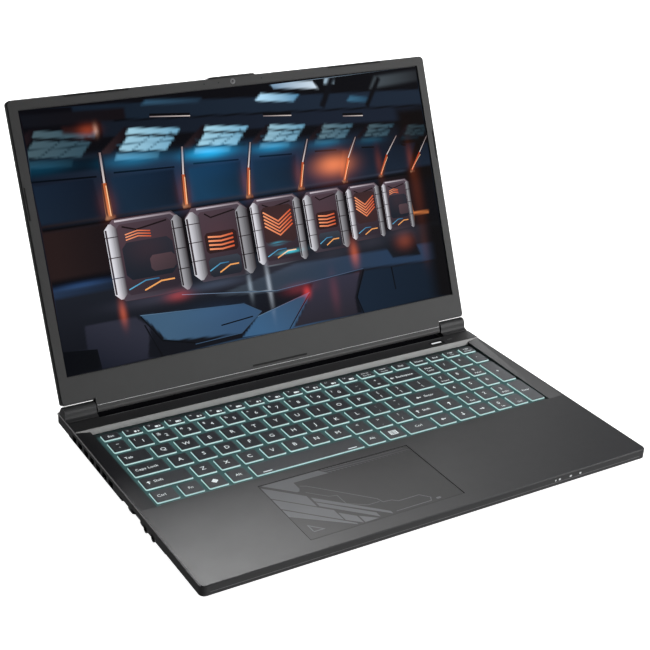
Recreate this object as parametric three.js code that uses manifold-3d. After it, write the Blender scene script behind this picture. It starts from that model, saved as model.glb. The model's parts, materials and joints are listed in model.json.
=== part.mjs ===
// A 15.6 inch gaming laptop computer, open, as an assembly of separate pieces.
// Millimetres, +Z up, X to the user's right, Y away from the user.
// While it is built, y = 0 is the front edge of the base and z = 0 is the table that the feet stand on;
// at the end the whole group is moved so that its origin is the middle of its footprint.

import * as THREE from 'three';
import { mergeVertices } from 'three/addons/utils/BufferGeometryUtils.js';
import Module from 'manifold-3d';

const wasm = await Module();
wasm.setup();

// ---------------------------------------------------------------- driving dimensions

const WIDTH = 360;
const DEPTH = 238;
const HALF = WIDTH / 2;

const PALM_Z = 16.4;          // top of the palm rest and of the strips beside the keys
const DECK_Z = 17.0;          // top of the raised deck behind the keys
const SEAM_Z = 8.9;           // lower edge of the top case
const REAR_ROOM_Z = 11.4;     // top of the space behind the keys, over the connectors and fins
const BELLY_Z = 2.0;          // underside of the bottom cover
const WALL = 1.5;             // moulded wall
const GAP = 0.3;              // clearance between neighbouring pieces

const AXIS_Y = 226.9;         // hinge axis
const AXIS_Z = 20.8;
const LID_SLOPE = 66.54;      // degrees from the table to the open lid
const BEZEL_N = 3.4;          // bezel surface, measured from the axis towards the user
const LID_BACK_N = -3.3;      // outer face of the lid's back
const LID_TOP = 226.9;        // top edge of the lid, measured from the axis
const CORNER_S = 4.9;         // lower edge of the lid's two corners
const BAR_S = -5.1;           // lower edge of the lid between the hinge blocks
const BAR_HALF = 154.3;       // half width of that middle part
const BLOCK_IN = 155.0;       // inner side of the base's hinge blocks
const BLOCK_R = 4.3;          // rounding of the blocks about the hinge axis

const SCREEN = { w: 344.2, h: 193.6, bottom: 25.3 };
const CAMERA_S = 223.2;       // webcam, measured from the axis

const WELL = { front: 92, rear: 203, halfFront: 166.2, halfRear: 168.4, bottom: 12.1 };
const STRIP = { front: 91.2, outer: 177.6, inner: 164, fall: 1.7, under: 13.2 };  // they slope to the keys
const PLATE_TOP = 12.8;       // keyboard plate
const CAP = { bottom: 14.7, top: 15.9, taper: 0.45, web: 15.0 };
const KEY_GAP = 3.4;
const ROW_PITCH = 17.8;
const FIRST_ROW = 95.8;       // front edge of the row with the space bar
const KEYS_LEFT = -164.6;
const NUMPAD_LEFT = 103.0;
const NUMPAD_PITCH = 16.15;
const KEY_PITCH = 18.2;

const PAD = { left: -96.4, right: 24.4, front: 12.6, rear: 82.7, thick: 1.2, top: 16.2 };
const POWER = { x: 141, y: 209.2, w: 13.4, d: 5.4 };

const PORT_Z = 8.9;           // height of the side connectors
const FAN = { x: 118, y: 174, size: 66, low: 4.0, high: 10.5, bore: 29 };

// ---------------------------------------------------------------- solids

function solid(geometry) {
  const bare = geometry.clone();
  bare.deleteAttribute('normal');
  bare.deleteAttribute('uv');
  const welded = mergeVertices(bare, 1e-3);
  return new wasm.Manifold(new wasm.Mesh({
    numProp: 3,
    vertProperties: new Float32Array(welded.attributes.position.array),
    triVerts: new Uint32Array(welded.index.array),
  }));
}

function surface(body) {
  const mesh = body.getMesh();
  const geometry = new THREE.BufferGeometry();
  geometry.setAttribute('position', new THREE.BufferAttribute(mesh.vertProperties, 3));
  geometry.setIndex(new THREE.BufferAttribute(mesh.triVerts, 1));
  geometry.computeVertexNormals();
  return geometry;
}

function box(x0, x1, y0, y1, z0, z1) {
  const geometry = new THREE.BoxGeometry(x1 - x0, y1 - y0, z1 - z0);
  geometry.translate((x0 + x1) / 2, (y0 + y1) / 2, (z0 + z1) / 2);
  return solid(geometry);
}

function outline(points) {
  return new THREE.Shape(points.map(([a, b]) => new THREE.Vector2(a, b)));
}

function roundedRect(x0, x1, y0, y1, r, rBack = r) {
  const shape = new THREE.Shape();
  shape.absarc(x1 - r, y0 + r, r, -Math.PI / 2, 0);
  shape.absarc(x1 - rBack, y1 - rBack, rBack, 0, Math.PI / 2);
  shape.absarc(x0 + rBack, y1 - rBack, rBack, Math.PI / 2, Math.PI);
  shape.absarc(x0 + r, y0 + r, r, Math.PI, Math.PI * 1.5);
  return shape;
}

// An outline in X and Y, raised from z0 to z1.
function slab(shape, z0, z1, curveSegments = 4) {
  const geometry = new THREE.ExtrudeGeometry(shape, { depth: z1 - z0, bevelEnabled: false, curveSegments });
  geometry.translate(0, 0, z0);
  return solid(geometry);
}

// The same with its top edge chamfered.
function chamferedSlab(shape, z0, z1, chamfer, curveSegments = 4) {
  const geometry = new THREE.ExtrudeGeometry(shape, {
    depth: z1 - z0,
    bevelEnabled: true,
    bevelThickness: chamfer,
    bevelSize: chamfer,
    bevelOffset: -chamfer,
    bevelSegments: 1,
    curveSegments,
  });
  geometry.translate(0, 0, z0 - chamfer);
  return solid(geometry).subtract(box(-400, 400, -400, 400, z0 - 9, z0));
}

// An outline in Y and Z, drawn out along X.
function prismX(points, x0, x1) {
  const geometry = new THREE.ExtrudeGeometry(outline(points), { depth: x1 - x0, bevelEnabled: false });
  geometry.applyMatrix4(new THREE.Matrix4().makeBasis(
    new THREE.Vector3(0, 1, 0),
    new THREE.Vector3(0, 0, 1),
    new THREE.Vector3(1, 0, 0),
  ));
  geometry.translate(x0, 0, 0);
  return solid(geometry);
}

// An outline in X and Z, drawn out along Y.
function prismY(points, y0, y1) {
  const geometry = new THREE.ExtrudeGeometry(outline(points), { depth: y1 - y0, bevelEnabled: false });
  geometry.applyMatrix4(new THREE.Matrix4().makeBasis(
    new THREE.Vector3(1, 0, 0),
    new THREE.Vector3(0, 0, 1),
    new THREE.Vector3(0, -1, 0),
  ));
  geometry.translate(0, y1, 0);
  return solid(geometry);
}

// A slab whose outline changes from its bottom to its top; both outlines have the same number of points.
function taperedSlab(low, high, z0, z1, curveSegments = 3) {
  const a = low.getPoints(curveSegments);
  const b = high.getPoints(curveSegments);
  const count = a.length;
  const positions = [];
  a.forEach((p) => positions.push(p.x, p.y, z0));
  b.forEach((p) => positions.push(p.x, p.y, z1));
  const faces = [];
  for (let i = 0; i < count; i += 1) {
    const j = (i + 1) % count;
    faces.push(i, j, count + j, i, count + j, count + i);
  }
  const { triangulateShape } = THREE.ShapeUtils;
  triangulateShape(a, []).forEach(([p, q, r]) => faces.push(p, r, q));
  triangulateShape(b, []).forEach(([p, q, r]) => faces.push(count + p, count + q, count + r));
  const geometry = new THREE.BufferGeometry();
  geometry.setAttribute('position', new THREE.Float32BufferAttribute(positions, 3));
  geometry.setIndex(faces);
  return solid(geometry);
}

function rod(r, from, to, segments = 20) {
  const start = new THREE.Vector3(...from);
  const along = new THREE.Vector3(...to).sub(start);
  const geometry = new THREE.CylinderGeometry(r, r, along.length(), segments);
  geometry.translate(0, along.length() / 2, 0);
  geometry.applyQuaternion(new THREE.Quaternion().setFromUnitVectors(
    new THREE.Vector3(0, 1, 0),
    along.clone().normalize(),
  ));
  geometry.translate(start.x, start.y, start.z);
  return solid(geometry);
}

function join(bodies) {
  return bodies.reduce((sum, body) => sum.add(body));
}

function cut(body, tools) {
  return tools.reduce((rest, tool) => rest.subtract(tool), body);
}

const bothSides = (make) => [-1, 1].map(make);

// A box given for the right-hand side, put on either side.
function sideBox(side, x0, x1, y0, y1, z0, z1) {
  return side > 0 ? box(x0, x1, y0, y1, z0, z1) : box(-x1, -x0, y0, y1, z0, z1);
}

// ---------------------------------------------------------------- finishes

const finish = (color, roughness, metalness) => ({ color, roughness, metalness });
const SHELL = finish(0x3a3a3c, 0.55, 0.1);
const SHELL_DARK = finish(0x242426, 0.6, 0.05);
const KEYCAP = finish(0x343438, 0.55, 0);
const RUBBER = finish(0x1a1a1a, 0.9, 0);
const STEEL = finish(0x9a9da2, 0.35, 0.9);
const COPPER = finish(0xb06a3c, 0.3, 0.9);
const ALUMINIUM = finish(0xb8bcc0, 0.4, 0.9);
const BOARD = finish(0x12301f, 0.6, 0.1);
const BLACK = finish(0x141416, 0.5, 0);
const GLASS = finish(0x10182a, 0.15, 0);

const root = new THREE.Group();
const lid = new THREE.Group();

function place(name, body, look, parent = root) {
  const mesh = new THREE.Mesh(surface(body), new THREE.MeshStandardMaterial(look));
  mesh.name = name;
  parent.add(mesh);
  return mesh;
}

// ---------------------------------------------------------------- top case

const VENTS = { first: 137.6, pitch: 11, count: 7, long: 7.4, low: 8.1, high: 13.6 };
const USB_LEFT_Y = 96;
const USB_RIGHT_Y = 120;
const JACKS_Y = [81.3, 69.8];
const REAR_PORTS = [
  { name: 'hdmi_port', x: -24, w: 15.2, h: 5.6, deep: 12 },
  { name: 'usb_c_port', x: 8, w: 9.2, h: 3.4, deep: 9 },
  { name: 'dc_inlet', x: 36, w: 10, h: 7.2, deep: 13 },
];
const REAR_PORT_Z = 7.4;
const LOCK_SLOT = { y: 119.6, long: 7, tall: 3 };

// Rails that thicken the slanted sides of the bottom cover, from y0 to y1.
const RAIL = { face: 179.4, foot: 7.4, root: 173, low: 4.2 };
const RAILS = [
  { side: -1, y0: 52, y1: 92 },
  { side: -1, y0: 101, y1: 108.5 },
  { side: -1, y0: 120.5, y1: 216 },
  { side: 1, y0: 52, y1: 216 },
];
const NOTCHES = [[92, 101], [108.5, 120.5]];  // between the rails on the left
const NOTCH_Z = 10.2;

// The openings that the side connectors and vents need, in whichever cover they meet.
function sideOpenings() {
  const tools = [];
  const usb = (side, y) => sideBox(side, 160, 182, y - 7, y + 7, PORT_Z - 3.1, PORT_Z + 3.1);
  tools.push(usb(-1, USB_LEFT_Y), usb(1, USB_RIGHT_Y));
  JACKS_Y.forEach((y) => tools.push(rod(3.1, [-182, y, PORT_Z], [-168, y, PORT_Z])));
  const { y: lockY, long, tall } = LOCK_SLOT;
  tools.push(sideBox(-1, 170, 182, lockY - long / 2, lockY + long / 2, PORT_Z - tall / 2, PORT_Z + tall / 2));
  for (let i = 0; i < VENTS.count; i += 1) {
    const y = VENTS.first + i * VENTS.pitch;
    bothSides((side) => tools.push(
      sideBox(side, 174, 182, y - VENTS.long / 2, y + VENTS.long / 2, VENTS.low, VENTS.high),
    ));
  }
  return tools;
}

// The openings in the rear edge, for the fins and the connectors.
function rearOpenings() {
  const tools = REAR_PORTS.map(({ x, w, h }) => (
    box(x - w / 2 - 0.5, x + w / 2 + 0.5, 228, 240, REAR_PORT_Z - h / 2 - 0.5, REAR_PORT_Z + h / 2 + 0.5)
  ));
  bothSides((side) => {
    for (let i = 0; i < 8; i += 1) {
      const x = 84 + i * 8.6;
      tools.push(sideBox(side, x, x + 6.6, 228, 240, 4.6, 9.8));
    }
  });
  return tools;
}

function blockProfile() {
  const points = [[219.0, 14], [219.0, DECK_Z - 0.1], [221.4, DECK_Z + 0.3], [222.3, DECK_Z + 1.2]];
  for (let degrees = 180; degrees >= 36; degrees -= 18) {
    const turn = THREE.MathUtils.degToRad(degrees);
    points.push([AXIS_Y + BLOCK_R * Math.cos(turn), AXIS_Z + BLOCK_R * Math.sin(turn)]);
  }
  points.push([235.6, 16.2], [DEPTH - 0.6, 16.2], [DEPTH, 15.6], [DEPTH, 14]);
  return points;
}

function wellOutline(spread) {
  return outline([
    [-WELL.halfFront - spread, WELL.front - spread],
    [WELL.halfFront + spread, WELL.front - spread],
    [WELL.halfRear + spread, WELL.rear + spread],
    [-WELL.halfRear - spread, WELL.rear + spread],
  ]);
}

// The slanted band behind the keys, and what lies behind it.
const BAND = prismX([
  [WELL.rear - 2, WELL.bottom - 1],
  [WELL.rear - 2, 13.2],
  [WELL.rear, DECK_Z],
  [WELL.rear, DECK_Z + 1.5],
  [WELL.rear + 4, DECK_Z + 1.5],
  [WELL.rear + 4, WELL.bottom - 1],
], -HALF, HALF);

// What is taken off the strip on one side of the keys.
function stripFall(side) {
  return prismY([
    [side * STRIP.outer, PALM_Z],
    [side * STRIP.inner, PALM_Z - STRIP.fall],
    [side * STRIP.inner, DECK_Z + 1],
    [side * STRIP.outer, DECK_Z + 1],
  ], STRIP.front, WELL.rear + 2).subtract(BAND);
}

// The channel in which the lid's lower end turns.
const TROUGH = [
  [216.3, 30], [216.3, 14.4], [217.6, 12.9], [232.6, 12.9],
  [233.0, 15.4], [240, 15.4], [240, 30],
];

function topCase() {
  const shell = chamferedSlab(roundedRect(-HALF, HALF, 0, DEPTH, 4, 3), SEAM_Z, PALM_Z, 0.6);
  const deckProfile = [[201.6, 15.6], [203.2, DECK_Z], [216.3, DECK_Z], [216.3, 15.6]];
  const deck = prismX(deckProfile, -HALF + 0.7, HALF - 0.7);
  const blocks = bothSides((side) => prismX(
    blockProfile(),
    side > 0 ? BLOCK_IN : -HALF + 0.5,
    side > 0 ? HALF - 0.5 : -BLOCK_IN,
  ));
  const wellWalls = slab(wellOutline(WALL), WELL.bottom, PALM_Z - WALL);
  const outer = join([shell, deck, ...blocks]);

  const underStrips = bothSides((side) => (
    sideBox(side, STRIP.inner, HALF, STRIP.front - WALL, WELL.rear + 2, STRIP.under, PALM_Z)
  ));
  const hollow = cut(
    box(-HALF + WALL, HALF - WALL, WALL, 214.8, SEAM_Z - 1, PALM_Z - WALL),
    underStrips,
  ).add(box(-HALF + WALL, HALF - WALL, 214, DEPTH - WALL, SEAM_Z - 1, REAR_ROOM_Z));
  const wellCut = slab(wellOutline(0), WELL.bottom - 1, DECK_Z + 2);
  const wellTool = wellCut.subtract(BAND);
  const trough = prismX(TROUGH, -BLOCK_IN, BLOCK_IN);
  const padHole = box(PAD.left - GAP, PAD.right + GAP, PAD.front - GAP, PAD.rear + GAP, 10, 20);
  const powerHole = slab(roundedRect(
    POWER.x - POWER.w / 2 - GAP,
    POWER.x + POWER.w / 2 + GAP,
    POWER.y - POWER.d / 2 - GAP,
    POWER.y + POWER.d / 2 + GAP,
    1.2,
  ), 10, 20);
  const bracketRoom = bothSides((side) => join([
    sideBox(side, 157.4, 177.4, 224.6, 229.2, 10, AXIS_Z),
    rod(2.7, [side * 157.4, AXIS_Y, AXIS_Z], [side * 177.4, AXIS_Y, AXIS_Z]),
    rod(1.8, [side * 150, AXIS_Y, AXIS_Z], [side * 160, AXIS_Y, AXIS_Z], 16),
  ]));
  const body = cut(outer, [hollow]).add(wellWalls);
  const notches = NOTCHES.map(([y0, y1]) => box(-HALF - 1, -RAIL.root, y0, y1, SEAM_Z - 1, NOTCH_Z));
  const openings = [padHole, powerHole, ...bracketRoom, ...sideOpenings(), ...rearOpenings(), ...notches];
  return cut(body, [wellTool, ...bothSides(stripFall), trough, ...openings]);
}

// ---------------------------------------------------------------- bottom cover

const FEET = {
  foot_front: { x0: -150, x1: 150, y0: 22, y1: 29 },
  foot_rear: { x0: -158, x1: 158, y0: 219, y1: 228 },
};
const SCREWS = [
  [-160, 36], [0, 36], [160, 36],
  [-164, 124], [0, 118], [164, 124],
  [-150, 208], [0, 208], [150, 208],
];

function footHole({ x0, x1, y0, y1 }, spread, z0, z1) {
  return slab(roundedRect(x0 - spread, x1 + spread, y0 - spread, y1 + spread, 3), z0, z1);
}

function bottomCover() {
  const top = SEAM_Z - GAP;
  const skin = (inset, low, high) => taperedSlab(
    roundedRect(-172 + inset, 172 - inset, 14 + inset, 232.5 - inset, 6),
    roundedRect(-178.8 + inset, 178.8 - inset, 1.6 + inset, 236.6 - inset, 4),
    low,
    high,
  );
  const rails = RAILS.map(({ side, y0, y1 }) => prismY([
    [side * RAIL.root, RAIL.low],
    [side * RAIL.face, RAIL.foot],
    [side * RAIL.face, top],
    [side * RAIL.root, top],
  ], y0, y1));
  const shell = skin(0, BELLY_Z, top).subtract(skin(WALL, BELLY_Z + WALL, top + 0.02)).add(join(rails));
  const tools = [...sideOpenings(), ...rearOpenings()];
  Object.values(FEET).forEach((foot) => tools.push(footHole(foot, GAP, 0, BELLY_Z + 0.8)));
  SCREWS.forEach(([x, y]) => tools.push(rod(2.9, [x, y, 0], [x, y, BELLY_Z + 0.9], 12)));
  bothSides((side) => {
    for (let i = 0; i < 9; i += 1) {
      const y = FAN.y - 24 + i * 6;
      tools.push(sideBox(side, FAN.x - 26, FAN.x + 26, y - 1.2, y + 1.2, 0, 4));
    }
    for (let i = 0; i < 6; i += 1) {
      tools.push(sideBox(side, 120 + i * 6, 123 + i * 6, 40, 56, 0, 4));
    }
  });
  return cut(shell, tools);
}

// ---------------------------------------------------------------- keyboard

// One keycap, a low block whose sides lean in to its top.
function keycap(x, y, w, d) {
  const rect = (inset) => outline([
    [x + inset, y + inset],
    [x + w - inset, y + inset],
    [x + w - inset, y + d - inset],
    [x + inset, y + d - inset],
  ]);
  return taperedSlab(rect(0), rect(CAP.taper), CAP.bottom, CAP.top, 1);
}

// Keys of one row side by side, joined by a thin web under their caps.
function keyRow(x, y, pitches, depth) {
  const caps = [];
  let left = x;
  pitches.forEach((pitch) => {
    caps.push(keycap(left, y, pitch - KEY_GAP, depth));
    left += pitch;
  });
  if (pitches.length > 1) {
    caps.push(box(x + 2, left - KEY_GAP - 2, y + depth / 2 - 2, y + depth / 2 + 2, CAP.bottom, CAP.web));
  }
  return join(caps);
}

const KEY_DEPTH = ROW_PITCH - KEY_GAP + 0.2;
const TOP_ROW_DEPTH = 9;
const times = (count, pitch = KEY_PITCH) => new Array(count).fill(pitch);
const rowY = (row) => FIRST_ROW + row * ROW_PITCH;
const numpadX = (column) => NUMPAD_LEFT + column * NUMPAD_PITCH;

// Each row from the front: its pieces from left to right, with the pitch of every key in each piece.
const ROWS = [
  [
    ['keys_modifiers_left', [20.4, 18.1, 18.1, 18.1]],
    ['key_space', [91.1]],
    ['keys_modifiers_right', [18.4, 18.2, 27.0]],
    ['keys_arrow_row', [18.2, 18.0, 18.2]],
  ],
  [
    ['key_shift_left', [38.6]],
    ['keys_lower_letters', times(10)],
    ['key_shift_right', [26.9]],
    ['key_arrow_up', [18.2]],
  ],
  [['key_caps_lock', [29.8]], ['keys_home_letters', times(11)], ['key_enter', [35.9]]],
  [['key_tab', [25.0]], ['keys_upper_letters', [...times(12), 22.4]]],
  [['keys_number_row', [16.2, ...times(12)]], ['key_backspace', [31.2]]],
  [['key_escape', [16.64]], ['keys_function_row', times(15, 16.64)]],
];

function keyboard() {
  ROWS.forEach((pieces, row) => {
    const depth = row === 5 ? TOP_ROW_DEPTH : KEY_DEPTH;
    let x = KEYS_LEFT;
    pieces.forEach(([name, pitches]) => {
      place(name, keyRow(x, rowY(row), pitches, depth), KEYCAP);
      x += pitches.reduce((sum, pitch) => sum + pitch);
    });
  });
  const pad = (column, row, count) => (
    keyRow(numpadX(column), rowY(row), times(count, NUMPAD_PITCH), KEY_DEPTH)
  );
  const spine = box(numpadX(1) + 4, numpadX(1) + 8, rowY(0) + 6, rowY(4) + 8, CAP.bottom, CAP.web);
  const padRows = [pad(1, 0, 2), pad(0, 1, 3), pad(0, 2, 3), pad(0, 3, 3), pad(0, 4, 4)];
  place('keys_numpad', join([...padRows, spine]), KEYCAP);
  const tall = (row) => keycap(numpadX(3), rowY(row), NUMPAD_PITCH - KEY_GAP, KEY_DEPTH + ROW_PITCH);
  place('key_numpad_enter', tall(0), KEYCAP);
  place('key_numpad_plus', tall(2), KEYCAP);
  place('keys_navigation', keyRow(NUMPAD_LEFT, rowY(5), times(4, NUMPAD_PITCH), TOP_ROW_DEPTH), KEYCAP);

  const inset = 0.35;
  const plate = outline([
    [-WELL.halfFront + inset, WELL.front + inset],
    [WELL.halfFront - inset, WELL.front + inset],
    [WELL.halfRear - inset, WELL.rear - 2 - inset],
    [-WELL.halfRear + inset, WELL.rear - 2 - inset],
  ]);
  place('keyboard_plate', slab(plate, PLATE_TOP - 0.7, PLATE_TOP), BLACK);
}

// ---------------------------------------------------------------- touchpad and power button

function controls() {
  const padOutline = roundedRect(PAD.left, PAD.right, PAD.front, PAD.rear, 0.8);
  place('touchpad', slab(padOutline, PAD.top - PAD.thick, PAD.top), SHELL);
  const middle = (PAD.left + PAD.right) / 2;
  place('touchpad_bracket', join([
    box(PAD.left - 6, PAD.right + 6, PAD.front - 6, PAD.rear + 4, 12.6, 13.6),
    rod(4, [middle, PAD.front + 10, 13.4], [middle, PAD.front + 10, 14.3], 12),
  ]), STEEL);
  const { x, y, w, d } = POWER;
  const cap = slab(roundedRect(x - w / 2, x + w / 2, y - d / 2, y + d / 2, 0.9), 14.2, DECK_Z - 0.1);
  const flange = box(x - w / 2 - 1.2, x + w / 2 + 1.2, y - d / 2 - 1.0, y + d / 2 + 1.0, 13.4, 14.4);
  place('power_button', cap.add(flange), SHELL_DARK);
}

// ---------------------------------------------------------------- inside the base

function fanHousing(x, y) {
  const h = FAN.size / 2;
  const shell = box(x - h, x + h, y - h, y + h, FAN.low, FAN.high);
  const room = join([
    rod(FAN.bore, [x, y, FAN.low + 0.8], [x, y, FAN.high - 0.8], 32),
    box(x - h + 1.5, x + h - 1.5, y, y + h + 1, FAN.low + 0.8, FAN.high - 0.8),
  ]);
  const intake = rod(20, [x, y, FAN.low - 1], [x, y, FAN.low + 1], 32);
  const post = rod(2, [x, y, FAN.low + 1.6], [x, y, FAN.high - 0.6], 12);
  return cut(shell, [room, intake]).add(post);
}

function fanRotor(x, y) {
  const low = FAN.low + 1.2;
  const high = FAN.high - 1.2;
  const parts = [
    rod(10, [x, y, low], [x, y, high], 16),
    rod(26, [x, y, high - 0.7], [x, y, high], 22).subtract(rod(22, [x, y, low], [x, y, high + 1], 22)),
  ];
  const blades = 11;
  for (let i = 0; i < blades; i += 1) {
    const blade = new THREE.BoxGeometry(18, 0.8, high - low);
    blade.translate(17.5, 0, (low + high) / 2);
    blade.rotateZ((i / blades) * Math.PI * 2);
    blade.translate(x, y, 0);
    parts.push(solid(blade));
  }
  return join(parts).subtract(rod(2.3, [x, y, low - 1], [x, y, high - 0.8], 12))
    .subtract(rod(2.3, [x, y, high - 1], [x, y, high + 1], 12));
}

const SINK = { y0: 209, y1: 227, low: 4.2, high: 8.0 };

function heatSink(x) {
  const plate = box(x - 32, x + 32, SINK.y0, SINK.y1, SINK.high - 0.8, SINK.high);
  const fins = [];
  for (let i = 0; i < 16; i += 1) {
    const left = x - 32 + i * 4.2;
    fins.push(box(left, left + 0.8, SINK.y0, SINK.y1, SINK.low, SINK.high - 0.4));
  }
  return join([plate, ...fins]);
}

// A flattened tube that crosses from one fin stack to the other by way of the processors.
function heatPipe() {
  const z = SINK.high + 1.3;
  const y = SINK.y0 + 5;
  const half = [[34, y - 46], [58, y - 26], [76, y - 4], [96, y], [146, y]];
  const mirrored = half.map(([px, py]) => [-px, py]).reverse();
  const route = new THREE.CatmullRomCurve3(
    [...mirrored, ...half].map(([px, py]) => new THREE.Vector3(px, py, z)),
  );
  const section = new THREE.Shape();
  section.absellipse(0, 0, 1.0, 3.4, 0, Math.PI * 2);
  return solid(new THREE.ExtrudeGeometry(section, {
    steps: 36,
    extrudePath: route,
    curveSegments: 4,
    bevelEnabled: false,
  }));
}

function mainboard() {
  const sheet = outline([
    [-80, 112], [84, 112], [84, 128], [168, 128], [168, 138],
    [84, 138], [82, 204], [66, 218], [-66, 218], [-80, 204],
  ]);
  const low = 10.6;
  const board = slab(sheet, low, low + 0.6);
  const chips = [box(-34, -10, 160, 184, low - 0.3, low + 0.3), box(14, 46, 156, 188, low - 0.3, low + 0.3)];
  return join([board, ...chips]);
}

function insides() {
  const base = 3.9;
  place('mainboard', mainboard(), BOARD);
  place('battery', slab(roundedRect(-108, 108, 38, 96, 2), base, 10.2), BLACK);
  place('ssd', box(-70, 10, 122, 144, 8.2, 10.2), BOARD);
  place('memory_module', box(14, 82, 116, 146, 7.4, 10.2), BOARD);
  place('heat_pipe', heatPipe(), COPPER);
  ['left', 'right'].forEach((word, index) => {
    const side = index ? 1 : -1;
    place(`fan_housing_${word}`, fanHousing(side * FAN.x, FAN.y), SHELL_DARK);
    place(`fan_rotor_${word}`, fanRotor(side * FAN.x, FAN.y), BLACK);
    place(`heat_sink_${word}`, heatSink(side * FAN.x), ALUMINIUM);
    const speaker = roundedRect(side * 140 - 22, side * 140 + 22, 38, 62, 3);
    place(`speaker_${word}`, slab(speaker, base, 9.6), BLACK);
    place(`hinge_bracket_${word}`, hingeBracket(side), STEEL);
  });
}

// ---------------------------------------------------------------- hinges

const PIN_R = 1.4;

// Steel bracket in the base, with the hinge pin standing out of its side into the lid.
function hingeBracket(side) {
  return join([
    sideBox(side, 159, 172, 225.1, 228.7, 9.2, AXIS_Z),
    sideBox(side, 159, 172, 209, 228.7, 8.4, 10.0),
    rod(2.3, [side * 158, AXIS_Y, AXIS_Z], [side * 176, AXIS_Y, AXIS_Z]),
    rod(PIN_R, [side * 144, AXIS_Y, AXIS_Z], [side * 160, AXIS_Y, AXIS_Z], 16),
  ]);
}

// Steel leaf in the lid, with the knuckle that turns on that pin. Lid frame: y along the lid, z to the user.
function hingeLeaf(side) {
  const knuckle = rod(2.3, [side * 145.5, 0, 0], [side * 153.2, 0, 0]);
  const arm = sideBox(side, 134, 152, 1.2, 44, -1.6, -0.9);
  const bore = rod(PIN_R + GAP, [side * 140, 0, 0], [side * 156, 0, 0], 16);
  return knuckle.add(arm).subtract(bore);
}

// ---------------------------------------------------------------- connectors

function socket(x0, x1, y0, y1, z0, z1, mouth) {
  return box(x0, x1, y0, y1, z0, z1).subtract(mouth);
}

// USB type A receptacle: a metal sleeve with the tongue in the upper half of its mouth.
function usbA(side, y) {
  const z = PORT_Z;
  const sleeve = sideBox(side, 163, 177.2, y - 6.6, y + 6.6, z - 2.8, z + 2.8);
  const mouth = sideBox(side, 167, 178, y - 6.1, y + 6.1, z - 2.35, z + 2.35);
  const tongue = sideBox(side, 166, 175.6, y - 5.4, y + 5.4, z + 0.35, z + 2.0);
  return sleeve.subtract(mouth).add(tongue);
}

function connectors() {
  place('usb_a_port_left', usbA(-1, USB_LEFT_Y), STEEL);
  place('usb_a_port_right', usbA(1, USB_RIGHT_Y), STEEL);
  const holder = box(-171.6, -160, JACKS_Y[1] - 5, JACKS_Y[0] + 5, PORT_Z - 3.2, 11.0);
  const nose = JACKS_Y.map((y) => rod(2.8, [-178.6, y, PORT_Z], [-170, y, PORT_Z]));
  const bores = JACKS_Y.map((y) => rod(1.8, [-180, y, PORT_Z], [-163, y, PORT_Z], 16));
  place('audio_jacks', cut(join([holder, ...nose]), bores), BLACK);
  const face = 234.2;
  REAR_PORTS.forEach(({ name, x, w, h, deep }) => {
    const z = REAR_PORT_Z;
    const shell = box(x - w / 2, x + w / 2, face - deep, face, z - h / 2, z + h / 2);
    if (name === 'dc_inlet') {
      const bore = rod(2.75, [x, face - deep + 2, z], [x, face + 1, z]);
      const pin = rod(0.8, [x, face - deep + 1, z], [x, face - 1.5, z], 12);
      place(name, shell.subtract(bore).add(pin), BLACK);
      return;
    }
    const half = { w: w / 2 - 0.5, h: h / 2 - 0.5 };
    const mouth = box(x - half.w, x + half.w, face - deep + 2, face + 1, z - half.h, z + half.h);
    const tongue = box(x - w / 2 + 2.2, x + w / 2 - 2.2, face - deep + 1, face - 1.2, z - 0.4, z + 0.4);
    place(name, shell.subtract(mouth).add(tongue), STEEL);
  });
}

// ---------------------------------------------------------------- lid, in its own frame

const BUMP = { half: 19, tall: 1.2 };
const LID_EDGE = 0.7;

function lidOutline(inset, bottom) {
  return roundedRect(-HALF + inset, HALF - inset, bottom, LID_TOP - inset, 2, 3.5);
}

function bumpOutline(inset) {
  return outline([
    [-BUMP.half - 3, LID_TOP - 4],
    [BUMP.half + 3, LID_TOP - 4],
    [BUMP.half + 1.5, LID_TOP - inset],
    [BUMP.half, LID_TOP + BUMP.tall - inset],
    [-BUMP.half, LID_TOP + BUMP.tall - inset],
    [-BUMP.half - 1.5, LID_TOP - inset],
  ]);
}

// The rounded lower end of the lid between the hinge blocks, as points along the lid and through it.
function barProfile(inset, front, back, above) {
  const r = 3.0 - inset;
  const low = BAR_S + inset;
  const points = [[above, back + inset], [above, front - inset]];
  for (let degrees = 90; degrees <= 270; degrees += 22.5) {
    const turn = THREE.MathUtils.degToRad(degrees);
    const middle = degrees <= 180 ? front - 3.0 : back + 3.0;
    points.push([low + r + r * Math.cos(turn), middle + r * Math.sin(turn)]);
  }
  return points;
}

function backCover() {
  const rim = 2.1;
  const flat = new THREE.Matrix4().makeRotationY(Math.PI);
  const mirrored = chamferedSlab(lidOutline(0, CORNER_S), -rim, -LID_BACK_N, LID_EDGE);
  const geometry = surface(mirrored);
  geometry.applyMatrix4(flat);
  const main = solid(geometry);
  const tail = prismX(barProfile(0, BEZEL_N, LID_BACK_N, 8), -BAR_HALF, BAR_HALF)
    .subtract(box(-200, 200, -20, 20, 0.1, 10));
  const bump = slab(bumpOutline(0), -2.5, rim);
  const hollow = slab(lidOutline(WALL, CORNER_S + WALL), -1.9, 9);
  const tailHollow = prismX(barProfile(0.65, BEZEL_N, LID_BACK_N, 7), -BAR_HALF - 1, BAR_HALF + 1);
  return cut(join([main, tail, bump]), [hollow, tailHollow]);
}

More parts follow.
